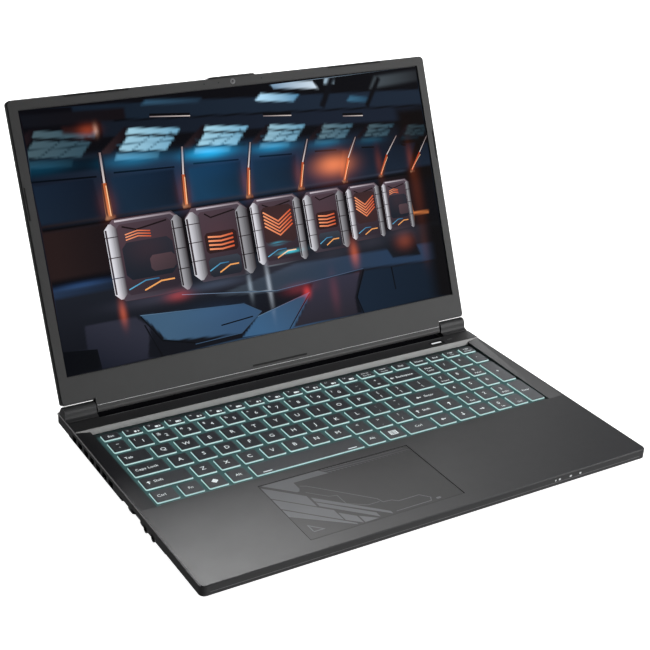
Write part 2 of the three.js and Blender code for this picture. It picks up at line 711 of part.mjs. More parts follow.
function bezel() {
  const inset = 0.25;
  const low = BEZEL_N - 1;
  const seam = 0.7;
  const plate = join([
    chamferedSlab(lidOutline(inset, CORNER_S + 1), low, BEZEL_N, 0.35),
    box(-BAR_HALF, BAR_HALF, seam, 12, low, BEZEL_N),
    slab(bumpOutline(inset), low, BEZEL_N - 0.3),
  ]);
  const margin = 0.5;
  const window = slab(roundedRect(
    -SCREEN.w / 2 - margin,
    SCREEN.w / 2 + margin,
    SCREEN.bottom - margin,
    SCREEN.bottom + SCREEN.h + margin,
    0.6,
  ), 0, 9, 2);
  const cameraHole = rod(2.4, [0, CAMERA_S, 0], [0, CAMERA_S, 9]);
  const grooves = bothSides((side) => sideBox(side, 86.4, 137.3, 225.0, 226.5, BEZEL_N - 0.6, 9));
  return cut(plate, [window, cameraHole, ...grooves]);
}

function buildLid() {
  place('lid_back_cover', backCover(), SHELL, lid);
  place('screen_bezel', bezel(), SHELL, lid);
  const barCover = prismX(barProfile(0, BEZEL_N, LID_BACK_N, 0.4), -BAR_HALF + 0.2, BAR_HALF - 0.2)
    .subtract(prismX(barProfile(0.8, BEZEL_N, LID_BACK_N, 3), -200, 200))
    .subtract(box(-200, 200, -20, 20, -9, 0.4));
  place('hinge_cover_bar', barCover, SHELL, lid);
  place('lcd_panel', box(-175.2, 175.2, 14, 220.5, -0.6, 2.1), GLASS, lid);
  place('webcam_module', join([
    box(-34, 34, 221.1, 225.1, 0.4, 1.4),
    rod(2.0, [0, CAMERA_S, 1.2], [0, CAMERA_S, 3.2]),
  ]), BLACK, lid);
  place('display_cable', box(-100, -86, -2, 13.4, -1.5, -1.1), BLACK, lid);
  ['left', 'right'].forEach((word, index) => {
    const side = index ? 1 : -1;
    place(`hinge_leaf_${word}`, hingeLeaf(side), STEEL, lid);
    const bumper = sideBox(side, 86.8, 136.9, 225.3, 226.2, BEZEL_N - 0.3, BEZEL_N + 0.5);
    place(`lid_bumper_${word}`, bumper, RUBBER, lid);
  });
  lid.position.set(0, AXIS_Y, AXIS_Z);
  lid.rotation.x = THREE.MathUtils.degToRad(LID_SLOPE);
  root.add(lid);
}

// ---------------------------------------------------------------- assembly

place('top_case', topCase(), SHELL);
place('bottom_cover', bottomCover(), SHELL_DARK);
Object.entries(FEET).forEach(([name, foot]) => place(name, footHole(foot, 0, 0, BELLY_Z + 0.5), RUBBER));
keyboard();
controls();
insides();
connectors();
buildLid();

root.updateMatrixWorld(true);
const extent = new THREE.Box3().setFromObject(root, true);
root.position.y = -(extent.min.y + extent.max.y) / 2;
root.updateMatrixWorld(true);

export default root;
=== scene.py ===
"""How the open laptop computer looks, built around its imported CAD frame.

Blender is in metres, with +Z up and +X to the user's right.
"""

import json
import math

import bmesh
import bpy
import numpy as np
from mathutils import Matrix, Vector
from mathutils.geometry import delaunay_2d_cdt

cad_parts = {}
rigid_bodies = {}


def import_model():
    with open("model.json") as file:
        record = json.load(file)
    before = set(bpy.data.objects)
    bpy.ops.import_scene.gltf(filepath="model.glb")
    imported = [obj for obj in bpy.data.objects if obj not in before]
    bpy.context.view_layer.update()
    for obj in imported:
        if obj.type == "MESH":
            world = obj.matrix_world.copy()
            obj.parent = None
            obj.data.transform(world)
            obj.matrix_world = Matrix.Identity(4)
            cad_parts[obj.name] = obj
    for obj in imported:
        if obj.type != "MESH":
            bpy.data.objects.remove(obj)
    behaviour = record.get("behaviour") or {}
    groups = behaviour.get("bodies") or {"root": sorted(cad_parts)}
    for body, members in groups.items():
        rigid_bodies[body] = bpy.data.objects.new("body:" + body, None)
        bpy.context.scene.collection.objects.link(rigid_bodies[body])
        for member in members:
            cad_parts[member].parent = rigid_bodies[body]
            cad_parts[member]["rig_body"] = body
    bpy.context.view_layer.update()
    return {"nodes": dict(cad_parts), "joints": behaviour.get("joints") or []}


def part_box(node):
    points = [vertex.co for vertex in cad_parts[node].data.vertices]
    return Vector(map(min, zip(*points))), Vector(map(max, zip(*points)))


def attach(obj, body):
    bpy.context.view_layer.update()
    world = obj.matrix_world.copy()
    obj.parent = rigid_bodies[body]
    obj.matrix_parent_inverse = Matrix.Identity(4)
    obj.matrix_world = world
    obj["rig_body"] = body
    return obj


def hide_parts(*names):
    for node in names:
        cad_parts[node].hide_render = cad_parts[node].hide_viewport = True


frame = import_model()

# ---------------- places and sizes, in millimetres
# On the base, y runs from its front edge and z from the table. On the lid, y runs up the lid from the hinge
# axis and z out of the lid towards the user.

MM = 0.001
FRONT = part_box("top_case")[0].y
AXIS = Vector(next(j for j in frame["joints"] if j["name"] == "lid_hinge")["pos_m"])
LID_SLOPE = math.radians(66.54)
BASE = Matrix.Translation((0, FRONT, 0)) @ Matrix.Scale(MM, 4)
LID = Matrix.Translation(AXIS) @ Matrix.Rotation(LID_SLOPE, 4, "X") @ Matrix.Scale(MM, 4)

HALF_WIDTH = 180.0
BEZEL_Z = 3.4
SCREEN_W, SCREEN_H, SCREEN_BOTTOM, SCREEN_Z = 344.2, 193.6, 25.3, 2.1
CAMERA_Y = 223.2
MICROPHONES = (-24.6, -12.2, 25.3)
JACKS = (81.3, 69.8)
JACK_MARKS = (76.7, 65.2)
SCREWS = [
    (-160, 36), (0, 36), (160, 36),
    (-164, 124), (0, 118), (164, 124),
    (-150, 208), (0, 208), (150, 208),
]

DECK_Z, PLATE_Z = 17.0, 12.8
PORT_Z, FRONT_SEAM_Z = 8.9, 11.2
WELL_REAR, TROUGH_FRONT, REAR_WALL, BAR_HALF = 203.0, 216.4, 236.0, 155.2
CAP_BOTTOM, CAP_TOP = 14.7, 15.9
PROUD, SUNK = 0.02, 0.1  # how far a printed mark stands off its surface, and how far it reaches in
KEY_GAP, KEY_DEPTH, TOP_ROW_DEPTH = 3.4, 14.6, 9.0
ROW_PITCH, FIRST_ROW = 17.8, 95.8
KEYS_LEFT, NUMPAD_LEFT, NUMPAD_PITCH = -164.6, 103.0, 16.15
KEY_PITCH, F_PITCH = 18.2, 16.64
# the second value is where the painted shade at the well's rim is deepest
KEYS_REAR, RIM_SHADE = 194.2, 167.0
HATCH_LINES = 22
FLOOR_HALF = 60000.0
PICTURE_GRAIN = 1.5  # the side of the picture's triangles
POST_FOOT = 108.0  # where the lamp posts in the picture stand
PAD = {"left": -96.4, "right": 24.4, "front": 12.6, "rear": 82.7, "top": 16.2, "thick": 1.2}


GAMMA = 2.2


def srgb(r, g, b):
    """A linear colour from one written as 0 to 255 screen values."""
    return tuple((c / 255) ** GAMMA for c in (r, g, b)) + (1.0,)


# ---------------- materials

def feed(tree, node, inputs):
    """Sets each of a node's inputs to a value, or links it to another node's output."""
    for name, value in inputs.items():
        if isinstance(value, bpy.types.NodeSocket):
            tree.links.new(value, node.inputs[name])
        else:
            node.inputs[name].default_value = value


def new_node(tree, kind, inputs=None, **settings):
    """A shader node of that kind, with its settings and inputs."""
    node = tree.nodes.new("ShaderNode" + kind)
    for name, value in settings.items():
        setattr(node, name, value)
    feed(tree, node, inputs or {})
    return node


def ramp(tree, value, start, end, low, high):
    """A number that goes from low to high as the value goes from start to end."""
    inputs = {"Value": value, "From Min": start, "From Max": end, "To Min": low, "To Max": high}
    return new_node(tree, "MapRange", inputs).outputs["Result"]


class Shader:
    """A material's node tree, with short calls for the nodes that are used here."""

    def __init__(self, name, colour, roughness, metallic=0.0, specular=0.5):
        self.material = bpy.data.materials.new(name)
        self.material.use_nodes = True
        self.tree = self.material.node_tree
        self.surface = self.tree.nodes["Principled BSDF"]
        self.set("Base Color", colour)
        self.set("Roughness", roughness)
        self.set("Metallic", metallic)
        self.set("Specular IOR Level", specular)
        self.place = new_node(self.tree, "TexCoord").outputs["Object"]

    def set(self, socket, value):
        """Sets a socket of the surface, or links it to another node's output."""
        feed(self.tree, self.surface, {socket: value})

    def noise(self, scale, detail=2.0, stretch=(1, 1, 1)):
        """A noise with that many features a metre."""
        place = new_node(self.tree, "Mapping", {"Vector": self.place, "Scale": stretch}).outputs["Vector"]
        inputs = {"Vector": place, "Scale": scale, "Detail": detail}
        return new_node(self.tree, "TexNoise", inputs).outputs["Fac"]

    def between(self, factor, low, high):
        """A number that goes from low to high with a noise, over the noise's usual range."""
        return ramp(self.tree, factor, 0.3, 0.7, low, high)

    def maths(self, operation, *values):
        """What that operation makes of the values."""
        inputs = dict(enumerate(values))
        return new_node(self.tree, "Math", inputs, operation=operation).outputs["Value"]

    def blend(self, factor, colour_a, colour_b):
        """A colour that goes from a to b with the factor."""
        inputs = {"Factor": factor, "A": colour_a, "B": colour_b}
        return new_node(self.tree, "Mix", inputs, data_type="RGBA").outputs["Result"]

    def bump(self, height, depth_mm, strength):
        """A relief that deep, from a noise."""
        inputs = {"Height": height, "Distance": depth_mm * MM, "Strength": strength}
        self.set("Normal", new_node(self.tree, "Bump", inputs).outputs["Normal"])

    def glow(self, colour, strength):
        self.set("Emission Color", colour)
        self.set("Emission Strength", strength)


def shade(colour, factor):
    """A linear colour made darker or lighter."""
    return tuple(c * factor for c in colour[:3]) + (1.0,)


def moulded(name, colour, roughness, grain_mm=0.35, depth_mm=0.012, spread=0.03, specular=0.5):
    """Textured moulded plastic: a fine grain, a faintly cloudy tone and slight changes of gloss."""
    colour = srgb(*colour)
    shader = Shader(name, colour, roughness, specular=specular)
    cloud = shader.between(shader.noise(22, 4), 0, 1)
    shader.set("Base Color", shader.blend(cloud, shade(colour, 1 - spread), shade(colour, 1 + spread)))
    shader.set("Roughness", shader.between(shader.noise(160, 3), roughness - 0.02, roughness + 0.02))
    shader.bump(shader.noise(1 / (grain_mm * MM), 2), depth_mm, 0.6)
    return shader.material


def brushed(name, colour, roughness):
    """Metal with fine lines along X."""
    colour = srgb(*colour)
    shader = Shader(name, colour, roughness, metallic=1.0)
    lines = shader.noise(900, 3, (0.05, 1, 1))
    shader.set("Base Color", shader.blend(lines, shade(colour, 0.8), shade(colour, 1.1)))
    shader.set("Roughness", shader.between(lines, roughness - 0.06, roughness + 0.08))
    return shader.material


def rubber(name):
    """Soft black rubber with a coarse grain."""
    shader = Shader(name, (0.02, 0.02, 0.02, 1), 0.8, specular=0.3)
    shader.set("Roughness", shader.between(shader.noise(300, 4), 0.7, 0.9))
    shader.bump(shader.noise(2500, 2), 0.02, 0.7)
    return shader.material


def circuit_board():
    """Green board with raised copper traces."""
    green = srgb(20, 62, 44)
    shader = Shader("circuit_board", green, 0.45)
    traces = shader.between(shader.noise(260, 1), 0, 1)
    shader.set("Base Color", shader.blend(traces, shade(green, 0.7), shade(green, 1.5)))
    shader.bump(traces, 0.03, 0.5)
    return shader.material


def lit(name, colour, strength):
    """Translucent plastic that a lamp lights from inside."""
    shader = Shader(name, (0.3, 0.3, 0.3, 1), 0.5)
    shader.glow(srgb(*colour), strength)
    shader.set("Emission Strength", shader.between(shader.noise(90, 2), strength * 0.88, strength * 1.08))
    return shader.material


def painted_light_plate(name, colour):
    """The plate under the keys. Its painted glow stands in for the keys' backlight falling on it, and
    painted shade dims it towards the rim of the well.
    """
    shader = Shader(name, (0.02, 0.03, 0.03, 1), 0.5)
    shader.glow(srgb(*colour), 1.0)
    place = new_node(shader.tree, "SeparateXYZ", {"Vector": shader.place}).outputs
    # painted shade: the glow fades out towards the rim of the well and behind the rear row of keys
    aside = shader.maths("ABSOLUTE", place["X"])
    across = ramp(shader.tree, aside, -KEYS_LEFT * MM, RIM_SHADE * MM, 1.0, 0.1)
    rear = FRONT + KEYS_REAR * MM
    along = ramp(shader.tree, place["Y"], rear, rear + 3 * MM, 1.0, 0.1)
    cloud = shader.between(shader.noise(90, 2), 0.9, 1.1)
    shader.set("Emission Strength", shader.maths("MULTIPLY", shader.maths("MULTIPLY", across, along), cloud))
    return shader.material


MINT = (177, 217, 215)
TEAL = (60, 88, 88)

PALM = moulded("palm_plastic", (54, 54, 56), 0.4, specular=0.42)
DECK = moulded("deck_plastic", (64, 64, 65), 0.5, specular=0.45)
# painted highlight: a light copy of the top case's plastic for the slope behind the well, which faces the
# front lights
BAND_HIGHLIGHT = moulded("band_painted_highlight", (162, 161, 160), 0.42)
SIDE = moulded("side_plastic", (71, 71, 72), 0.5, specular=0.55)
# painted highlight: near-white plastic for edges and seams that catch the light
EDGE_HIGHLIGHT = moulded("edge_painted_highlight", (236, 236, 238), 0.35)
# painted shade: near black and without gloss, for the shaded trough behind the deck
HOLLOW_SHADE = moulded("hollow_painted_shade", (18, 18, 20), 0.8, specular=0.0)
SHELL = moulded("shell_plastic", (66, 66, 67), 0.5)
# painted light: a lighter copy of the bezel plastic for the hinge cover bar's downturned faces
BAR_UNDERSIDE_LIGHT = moulded("bar_underside_painted_light", (88, 88, 88), 0.5)
BEZEL = moulded("bezel_plastic", (64, 64, 64), 0.55, grain_mm=0.5, specular=0.42)
UNDERSIDE = moulded("underside_plastic", (42, 42, 44), 0.6, depth_mm=0.02, specular=0.25)
PAD_SURFACE = moulded("touchpad_surface", (55, 55, 56), 0.4, 0.25, 0.004, specular=0.36)
PRINT = moulded("touchpad_print", (112, 114, 118), 0.45, 0.25, 0.004)
KEYTOP = moulded("keycap_plastic", (88, 91, 95), 0.5, grain_mm=0.3, depth_mm=0.01)
BLACK = moulded("black_plastic", (26, 26, 28), 0.5)
# painted shade: near black for the insides of holes and slots
HOLE_SHADE = moulded("hole_painted_shade", (12, 12, 13), 0.6)
RUBBER = rubber("rubber")
STEEL = brushed("steel", (190, 192, 196), 0.3)
FINS = brushed("fin_aluminium", (200, 202, 206), 0.35)
COPPER = brushed("copper", (190, 116, 76), 0.28)
BOARD = circuit_board()
CELL = moulded("battery_wrap", (30, 30, 32), 0.35)
KEY_EDGE = lit("key_edge", MINT, 0.85)
LEGEND = lit("key_legend", (214, 224, 226), 1.0)
# painted light: the plate's glow stands in for backlight on it, and painted shade dims it near the rim
KEY_PLATE = painted_light_plate("key_plate_painted_light", TEAL)
LENS_RING = moulded("lens_ring", (128, 128, 130), 0.4)
LENS = moulded("lens_glass", (120, 120, 123), 0.3)
LAMP_WHITE = lit("status_lamp", (225, 228, 230), 0.9)
STATUS = lit("front_lamp", (190, 194, 196), 0.7)
# printed marks, and also painted highlight lines along the trough's front edge and the front seam
PRINT_AND_HIGHLIGHT = moulded("print_and_painted_highlight", (150, 150, 152), 0.5)


# ---------------- mesh tools

def rounded(x0, x1, y0, y1, r, steps=4):
    """The corners of a rectangle with rounded corners, anticlockwise."""
    centres = [(x1 - r, y0 + r, -90), (x1 - r, y1 - r, 0), (x0 + r, y1 - r, 90), (x0 + r, y0 + r, 180)]
    points = []
    for cx, cy, start in centres:
        for i in range(steps + 1):
            turn = math.radians(start + 90 * i / steps)
            points.append((cx + r * math.cos(turn), cy + r * math.sin(turn)))
    return points


def circle(x, y, r, steps=24):
    """The corners of a many-sided circle, anticlockwise."""
    turns = [2 * math.pi * i / steps for i in range(steps)]
    return [(x + r * math.cos(t), y + r * math.sin(t)) for t in turns]


def loft(bm, rings, materials=()):
    """A closed solid through rings of points, with a material number for each band between two rings."""
    loops = [[bm.verts.new(p) for p in ring] for ring in rings]
    count = len(loops[0])
    for band, (low, high) in enumerate(zip(loops, loops[1:])):
        for i in range(count):
            j = (i + 1) % count
            face = bm.faces.new((low[i], low[j], high[j], high[i]))
            face.material_index = materials[band] if materials else 0
            face.smooth = True
    bm.faces.new(list(reversed(loops[0])))
    bm.faces.new(loops[-1])


def prism(bm, points, low, high, material=0):
    """A closed solid with that outline, anticlockwise, from low to high."""
    bottom = [bm.verts.new((x, y, low)) for x, y in points]
    top = [bm.verts.new((x, y, high)) for x, y in points]
    faces = [bm.faces.new(list(reversed(bottom))), bm.faces.new(top)]
    for i in range(len(points)):
        j = (i + 1) % len(points)
        faces.append(bm.faces.new((bottom[i], bottom[j], top[j], top[i])))
    for face in faces:
        face.material_index = material


def pillow(bm, points, low, high, edge):
    """A prism whose top edge is rounded over."""
    cx = sum(x for x, _ in points) / len(points)
    cy = sum(y for _, y in points) / len(points)
    wide = max(abs(x - cx) for x, _ in points)
    deep = max(abs(y - cy) for _, y in points)

    def ring(inset, z):
        """The outline, moved in by the inset, at that height."""
        in_x, in_y = 1 - inset / wide, 1 - inset / deep
        return [(cx + (x - cx) * in_x, cy + (y - cy) * in_y, z) for x, y in points]

    loft(bm, [ring(0, low), ring(0, high - edge), ring(edge * 0.3, high - edge * 0.3), ring(edge, high)])


def line(points, width):
    """The outline of a line of that width through the points, with mitred corners."""
    path = [Vector(p) for p in points]
    left, right = [], []
    for i, p in enumerate(path):
        before = (p - path[i - 1]).normalized() if i else None
        after = (path[i + 1] - p).normalized() if i + 1 < len(path) else None
        along = ((before or after) + (after or before)).normalized()
        across = Vector((-along.y, along.x))
        straight = after or before
        widen = width / 2 / max(0.3, abs(across.dot(Vector((-straight.y, straight.x)))))
        left.append(tuple(p + across * widen))
        right.append(tuple(p - across * widen))
    return right + list(reversed(left))


def scene_object(name, data):
    obj = bpy.data.objects.new(name, data)
    bpy.context.scene.collection.objects.link(obj)
    return obj


def mesh_object(name, bm, materials, place):
    """A new object from a mesh, which is moved to that place first."""
    bm.transform(place)
    bm.normal_update()
    mesh = bpy.data.meshes.new(name)
    bm.to_mesh(mesh)
    bm.free()
    for material in materials:
        mesh.materials.append(material)
    return scene_object(name, mesh)


def piece(name, bm, body, materials, place=BASE):
    """A piece of the model from a mesh in millimetres, riding on a body."""
    obj = mesh_object(name, bm, materials, place)
    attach(obj, body)
    return obj


def flat(name, outlines, low, high, body, material, place=BASE):
    """One piece of flat prisms with those outlines."""
    bm = bmesh.new()
    for points in outlines:
        prism(bm, points, low, high)
    return piece(name, bm, body, [material], place)


def body_of(node):
    """The body that a CAD node rides on."""
    return frame["nodes"][node]["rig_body"]


def softened(node, material, radius_mm, sharp_angle=28, shortest_mm=1.2, regions=()):
    """A copy of a CAD node whose longer edges are rounded over, standing in for it.

    Each region is another material with a test, which is given a face's middle, in the base's millimetres,
    and its normal.
    """
    bm = bmesh.new()
    bm.from_mesh(frame["nodes"][node].data)
    bmesh.ops.remove_doubles(bm, verts=bm.verts, dist=2e-6)
    bmesh.ops.dissolve_limit(
        bm, angle_limit=math.radians(1.0), use_dissolve_boundaries=False, verts=bm.verts, edges=bm.edges
    )
    limit = math.radians(sharp_angle)
    edges = [
        e for e in bm.edges
        if len(e.link_faces) == 2
        and e.calc_length() > shortest_mm * MM
        and e.calc_face_angle_signed(0) > limit
    ]
    bmesh.ops.bevel(
        bm, geom=edges, offset=radius_mm * MM, segments=2, profile=0.5, affect="EDGES", clamp_overlap=True
    )
    to_base = BASE.inverted()
    for face in bm.faces:
        face.smooth = True
        middle = to_base @ face.calc_center_median()
        for number, (_, test) in enumerate(regions, start=1):
            if test(middle, face.normal):
                face.material_index = number
    materials = [material] + [extra for extra, _ in regions]
    obj = piece(node + "_moulding", bm, body_of(node), materials, Matrix.Identity(4))
    obj.data.set_sharp_from_angle(angle=math.radians(40))
    weighted = obj.modifiers.new("even_shading", "WEIGHTED_NORMAL")
    weighted.keep_sharp = True
    weighted.weight = 100
    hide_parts(node)
    return obj


def dress(node, material):
    """A CAD node that shows as it is, in its own material."""
    obj = frame["nodes"][node]
    obj.data.materials.clear()
    obj.data.materials.append(material)


# ---------------- camera, stage and lights

CAMERA_PLACE, CAMERA_LENS = (-0.4713, -0.74176, 0.5021), 73.648
CAMERA_TURNS = (-32.386, 25.455, 2.968)  # azimuth, elevation and roll, in degrees
FLOOR_BOUNCE, ROOM_LIGHT, BACKDROP = 0.15, 0.01, 1.0


def direction(azimuth, elevation):
    """A unit vector; azimuth turns from +Y towards +X, and elevation rises from the floor."""
    level = math.cos(elevation)
    return Vector((math.sin(azimuth) * level, math.cos(azimuth) * level, math.sin(elevation)))


def make_camera():
    """The camera at the photograph's viewing angle."""
    azimuth, elevation, roll = (math.radians(turn) for turn in CAMERA_TURNS)
    data = bpy.data.cameras.new("camera")
    data.lens = CAMERA_LENS
    data.sensor_width = 36
    obj = scene_object("camera", data)
    aim = direction(-azimuth, -elevation).to_track_quat("-Z", "Y").to_matrix().to_4x4()
    obj.matrix_world = Matrix.Translation(CAMERA_PLACE) @ aim @ Matrix.Rotation(roll, 4, "Z")
    bpy.context.scene.camera = obj


def make_stage():
    """A wide floor that glows evenly, so that it looks the same from every side."""
    shader = Shader("pale_floor", (0.5, 0.5, 0.5, 1), 0.9, specular=0.0)
    shader.glow((1, 1, 1, 1), 1.0)
    bm = bmesh.new()
    prism(bm, rounded(-FLOOR_HALF, FLOOR_HALF, -FLOOR_HALF, FLOOR_HALF, 1000), -20, -0.2)
    floor = mesh_object("floor", bm, [shader.material], Matrix.Scale(MM, 4))
    floor.visible_diffuse = False
    floor.visible_glossy = False


def softbox(name, azimuth, elevation, power, size=0.6, distance=1.5):
    """A square light aimed at the object; azimuth turns from straight behind it towards its right side."""
    away = direction(math.radians(azimuth), math.radians(elevation))
    data = bpy.data.lights.new(name, "AREA")
    data.size = size
    data.energy = power
    obj = scene_object(name, data)
    obj.location = away * distance + Vector((0, 0, 0.03))
    obj.rotation_euler = away.to_track_quat("Z", "Y").to_euler()
    obj.visible_camera = False


def make_lights():
    """Softboxes round the object, and a dim room whose backdrop the camera sees as white."""
    softbox("back_softbox", 15, 38, 19)
    softbox("back_right_softbox", 35, 38, 2.4)
    softbox("right_softbox", 110, 35, 3)
    softbox("front_right_low_softbox", 120, 12, 7)
    softbox("front_right_softbox", 140, 35, 3)
    softbox("front_low_softbox", 160, 12, 6.3)
    softbox("rear_low_softbox", 20, 8, 8)
    softbox("rear_left_low_softbox", -50, 10, 1.6)

    world = bpy.data.worlds.new("studio")
    world.use_nodes = True
    tree = world.node_tree
    place = new_node(tree, "TexCoord").outputs["Generated"]
    height = new_node(tree, "SeparateXYZ", {"Vector": place}).outputs["Z"]
    level = ramp(tree, height, -0.05, 0.05, FLOOR_BOUNCE, ROOM_LIGHT)
    to_camera = new_node(tree, "LightPath").outputs["Is Camera Ray"]
    seen = new_node(tree, "Mix", {"Factor": to_camera, "A": level, "B": BACKDROP}).outputs["Result"]
    feed(tree, tree.nodes["Background"], {"Color": (1, 1, 1, 1), "Strength": seen})
    bpy.context.scene.world = world
    bpy.context.scene.view_settings.view_transform = "Standard"


# ---------------- shells and carried-over nodes

def on_deck(middle, normal):
    """Behind the keyboard's well."""
    return middle.y > WELL_REAR and middle.z > PLATE_Z


def on_band(middle, normal):
    """The slope that rises from the well's rear edge to the deck, painted light as a highlight."""
    return WELL_REAR - 2.2 < middle.y < WELL_REAR + 0.4 and -0.97 < normal.y < -0.3


def on_side(middle, normal):
    """The upright walls on the left, right and front."""
    return abs(normal.z) < 0.3 and (abs(middle.x) > HALF_WIDTH - 2 or middle.y < 2)


def on_outer_edge(middle, normal):
    """The rounded edge along the top of the left and right walls, painted near white as a highlight line."""
    return 0.25 < normal.z < 0.96 and abs(middle.x) > HALF_WIDTH - 1.1


def in_trough(middle, normal):
    """The hollow that the hinge cover bar turns in, painted near black as shade."""
    low = middle.z < DECK_Z - 0.4
    return TROUGH_FRONT < middle.y < REAR_WALL and low and abs(middle.x) < BAR_HALF


def turned_down(middle, normal):
    """Not facing up; on the hinge cover bar these faces get a lighter copy of its plastic, as painted light.
    """
    return normal.z < 0.3


# on the one top case moulding, the band and the outer edge get painted highlights and the trough gets
# painted shade
TOP_CASE_REGIONS = [
    (DECK, on_deck), (BAND_HIGHLIGHT, on_band), (SIDE, on_side), (EDGE_HIGHLIGHT, on_outer_edge), (HOLLOW_SHADE, in_trough),
]


def make_shells():
    """The mouldings, with their edges rounded over, and the CAD nodes that show as they are."""
    softened("top_case", PALM, 0.35, regions=TOP_CASE_REGIONS)
    softened("bottom_cover", UNDERSIDE, 0.3)
    softened("lid_back_cover", SHELL, 0.3)
    softened("screen_bezel", BEZEL, 0.2)
    # the bar's downturned faces are painted lighter, standing in for light on them
    softened("hinge_cover_bar", BEZEL, 0.15, 50, regions=[(BAR_UNDERSIDE_LIGHT, turned_down)])
    softened("power_button", BLACK, 0.25)
    softened("foot_front", RUBBER, 0.5)
    softened("foot_rear", RUBBER, 0.5)
    dress("keyboard_plate", KEY_PLATE)
    dress("lcd_panel", BLACK)
    dress("battery", CELL)
    dress("heat_pipe", COPPER)
    for node in ("webcam_module", "display_cable", "audio_jacks", "dc_inlet"):
        dress(node, BLACK)
    for node in ("mainboard", "ssd", "memory_module"):
        dress(node, BOARD)
    for node in ("touchpad_bracket", "hdmi_port", "usb_c_port", "usb_a_port_left", "usb_a_port_right"):
        dress(node, STEEL)
    for side in ("left", "right"):
        dress(f"fan_housing_{side}", BLACK)
        dress(f"fan_rotor_{side}", BLACK)
        dress(f"heat_sink_{side}", FINS)
        dress(f"speaker_{side}", BLACK)
        dress(f"hinge_bracket_{side}", STEEL)
        dress(f"hinge_leaf_{side}", STEEL)
        dress(f"lid_bumper_{side}", RUBBER)


# ---------------- keyboard

# A legend is a list of (text, x, y, size, alignment), measured from the middle of its key.

def word(text, size=3.9, x=0, y=0):
    return [(text, x, y, size, "CENTER")]


def letter(text):
    return word(text, 5.6, y=0.2)


def number(text, above):
    return word(text, 5.2, 1.2, -0.6) + word(above, 3.8, -4.0, 2.8)


def pair(above, below):
    return word(above, 4.4, y=3.0) + word(below, 4.4, y=-3.2)


def start(text, width, size=4.0):
    """A word that starts near the key's left edge."""
    return [(text, -(width - KEY_GAP) / 2 + 3.2, 0.2, size, "LEFT")]


def stacked(above, below, size=2.7):
    return word(above, size, y=1.9) + word(below, size, y=-1.9)


def number_pad(text, below=""):
    return word(text, 4.8, -0.5, 1.4) + word(below, 2.8, 0.2, -4.0)


def top_row(number_text):
    return word(number_text, 3.0, -3.6, 2.0)


def run(keys, width=KEY_PITCH):
    return [(key, width) for key in keys]


# Each row from the front: its CAD nodes from left to right, with the legend and pitch of every key.
LETTERS = [[letter(c) for c in text] for text in ("ZXCVBNM", "ASDFGHJKL", "QWERTYUIOP")]
ROWS = [
    [
        ("keys_modifiers_left", [(start("Ctrl", 20.4), 20.4)] + run([word("Fn"), [], word("Alt")], 18.1)),
        ("key_space", [([], 91.1)]),
        ("keys_modifiers_right", [(word("Alt"), 18.4), ([], 18.2), (word("Ctrl"), 27.0)]),
        ("keys_arrow_row", [([], 18.2), ([], 18.0), ([], 18.2)]),
    ],
    [
        ("key_shift_left", [(start("     Shift", 38.6), 38.6)]),
        ("keys_lower_letters", run(LETTERS[0] + [pair("<", ","), pair(">", "."), pair("?", "/")])),
        ("key_shift_right", [(word("  Shift"), 26.9)]),
        ("key_arrow_up", [([], 18.2)]),
    ],
    [
        ("key_caps_lock", [(start("Caps Lock", 29.8), 29.8)]),
        ("keys_home_letters", run(LETTERS[1] + [pair(":", ";"), pair("\"", "'")])),
        ("key_enter", [(word("Enter", x=2), 35.9)]),
    ],
    [
        ("key_tab", [(start("Tab", 25.0), 25.0)]),
        ("keys_upper_letters", run(LETTERS[2] + [pair("{", "["), pair("}", "]")]) + [
            (pair("|", "\\"), 22.4)
        ]),
    ],
    [
        ("keys_number_row", [(pair("~", "`"), 16.2)] + run(
            [number(a, b) for a, b in zip("1234567890", "!@#$%^&*()")] + [pair("_", "-"), pair("+", "=")]
        )),
        ("key_backspace", [(word("Backspace", x=1), 31.2)]),
    ],
    [
        ("key_escape", [(word("Esc", 3.6), F_PITCH)]),
        ("keys_function_row", run(
            [top_row(f"F{i}") for i in range(1, 13)]
            + [stacked("Prt Sc", "Sys Rq"), stacked("Pause", "Insert"), word("Del", 3.4)], F_PITCH
        )),
    ],
]
PAD_ROWS = [
    (0, 1, [number_pad("0", "Ins"), number_pad(".", "Del")]),
    (1, 0, [number_pad("1", "End"), number_pad("2"), number_pad("3", "PgDn")]),
    (2, 0, [number_pad("4"), number_pad("5"), number_pad("6")]),
    (3, 0, [number_pad("7", "Home"), number_pad("8"), number_pad("9", "PgUp")]),
    (4, 0, [stacked("Num", "Lock", 3.2), number_pad("/"), number_pad("*"), number_pad("-")]),
]
NAVIGATION = [word("Home", 3.2), word("End", 3.4), stacked("Page", "Up"), stacked("Page", "Down")]


def keycap(bm, x, y, width, depth):
    """A cap with lit sides, a rounded rim and a shallow dish in its top."""
    def ring(inset, z, corner):
        """The cap's outline, moved in by the inset, at that height."""
        outline = rounded(x + inset, x + width - inset, y + inset, y + depth - inset, corner)
        return [(px, py, z) for px, py in outline]

    loft(bm, [
        ring(0.0, CAP_BOTTOM, 1.0),
        ring(0.30, CAP_TOP - 0.28, 1.0),
        ring(0.36, CAP_TOP - 0.10, 1.0),
        ring(0.62, CAP_TOP, 0.9),
        ring(2.2, CAP_TOP - 0.10, 0.6),
        ring(min(depth, width) * 0.32, CAP_TOP - 0.20, 0.3),
    ], (1, 0, 0, 0, 0))


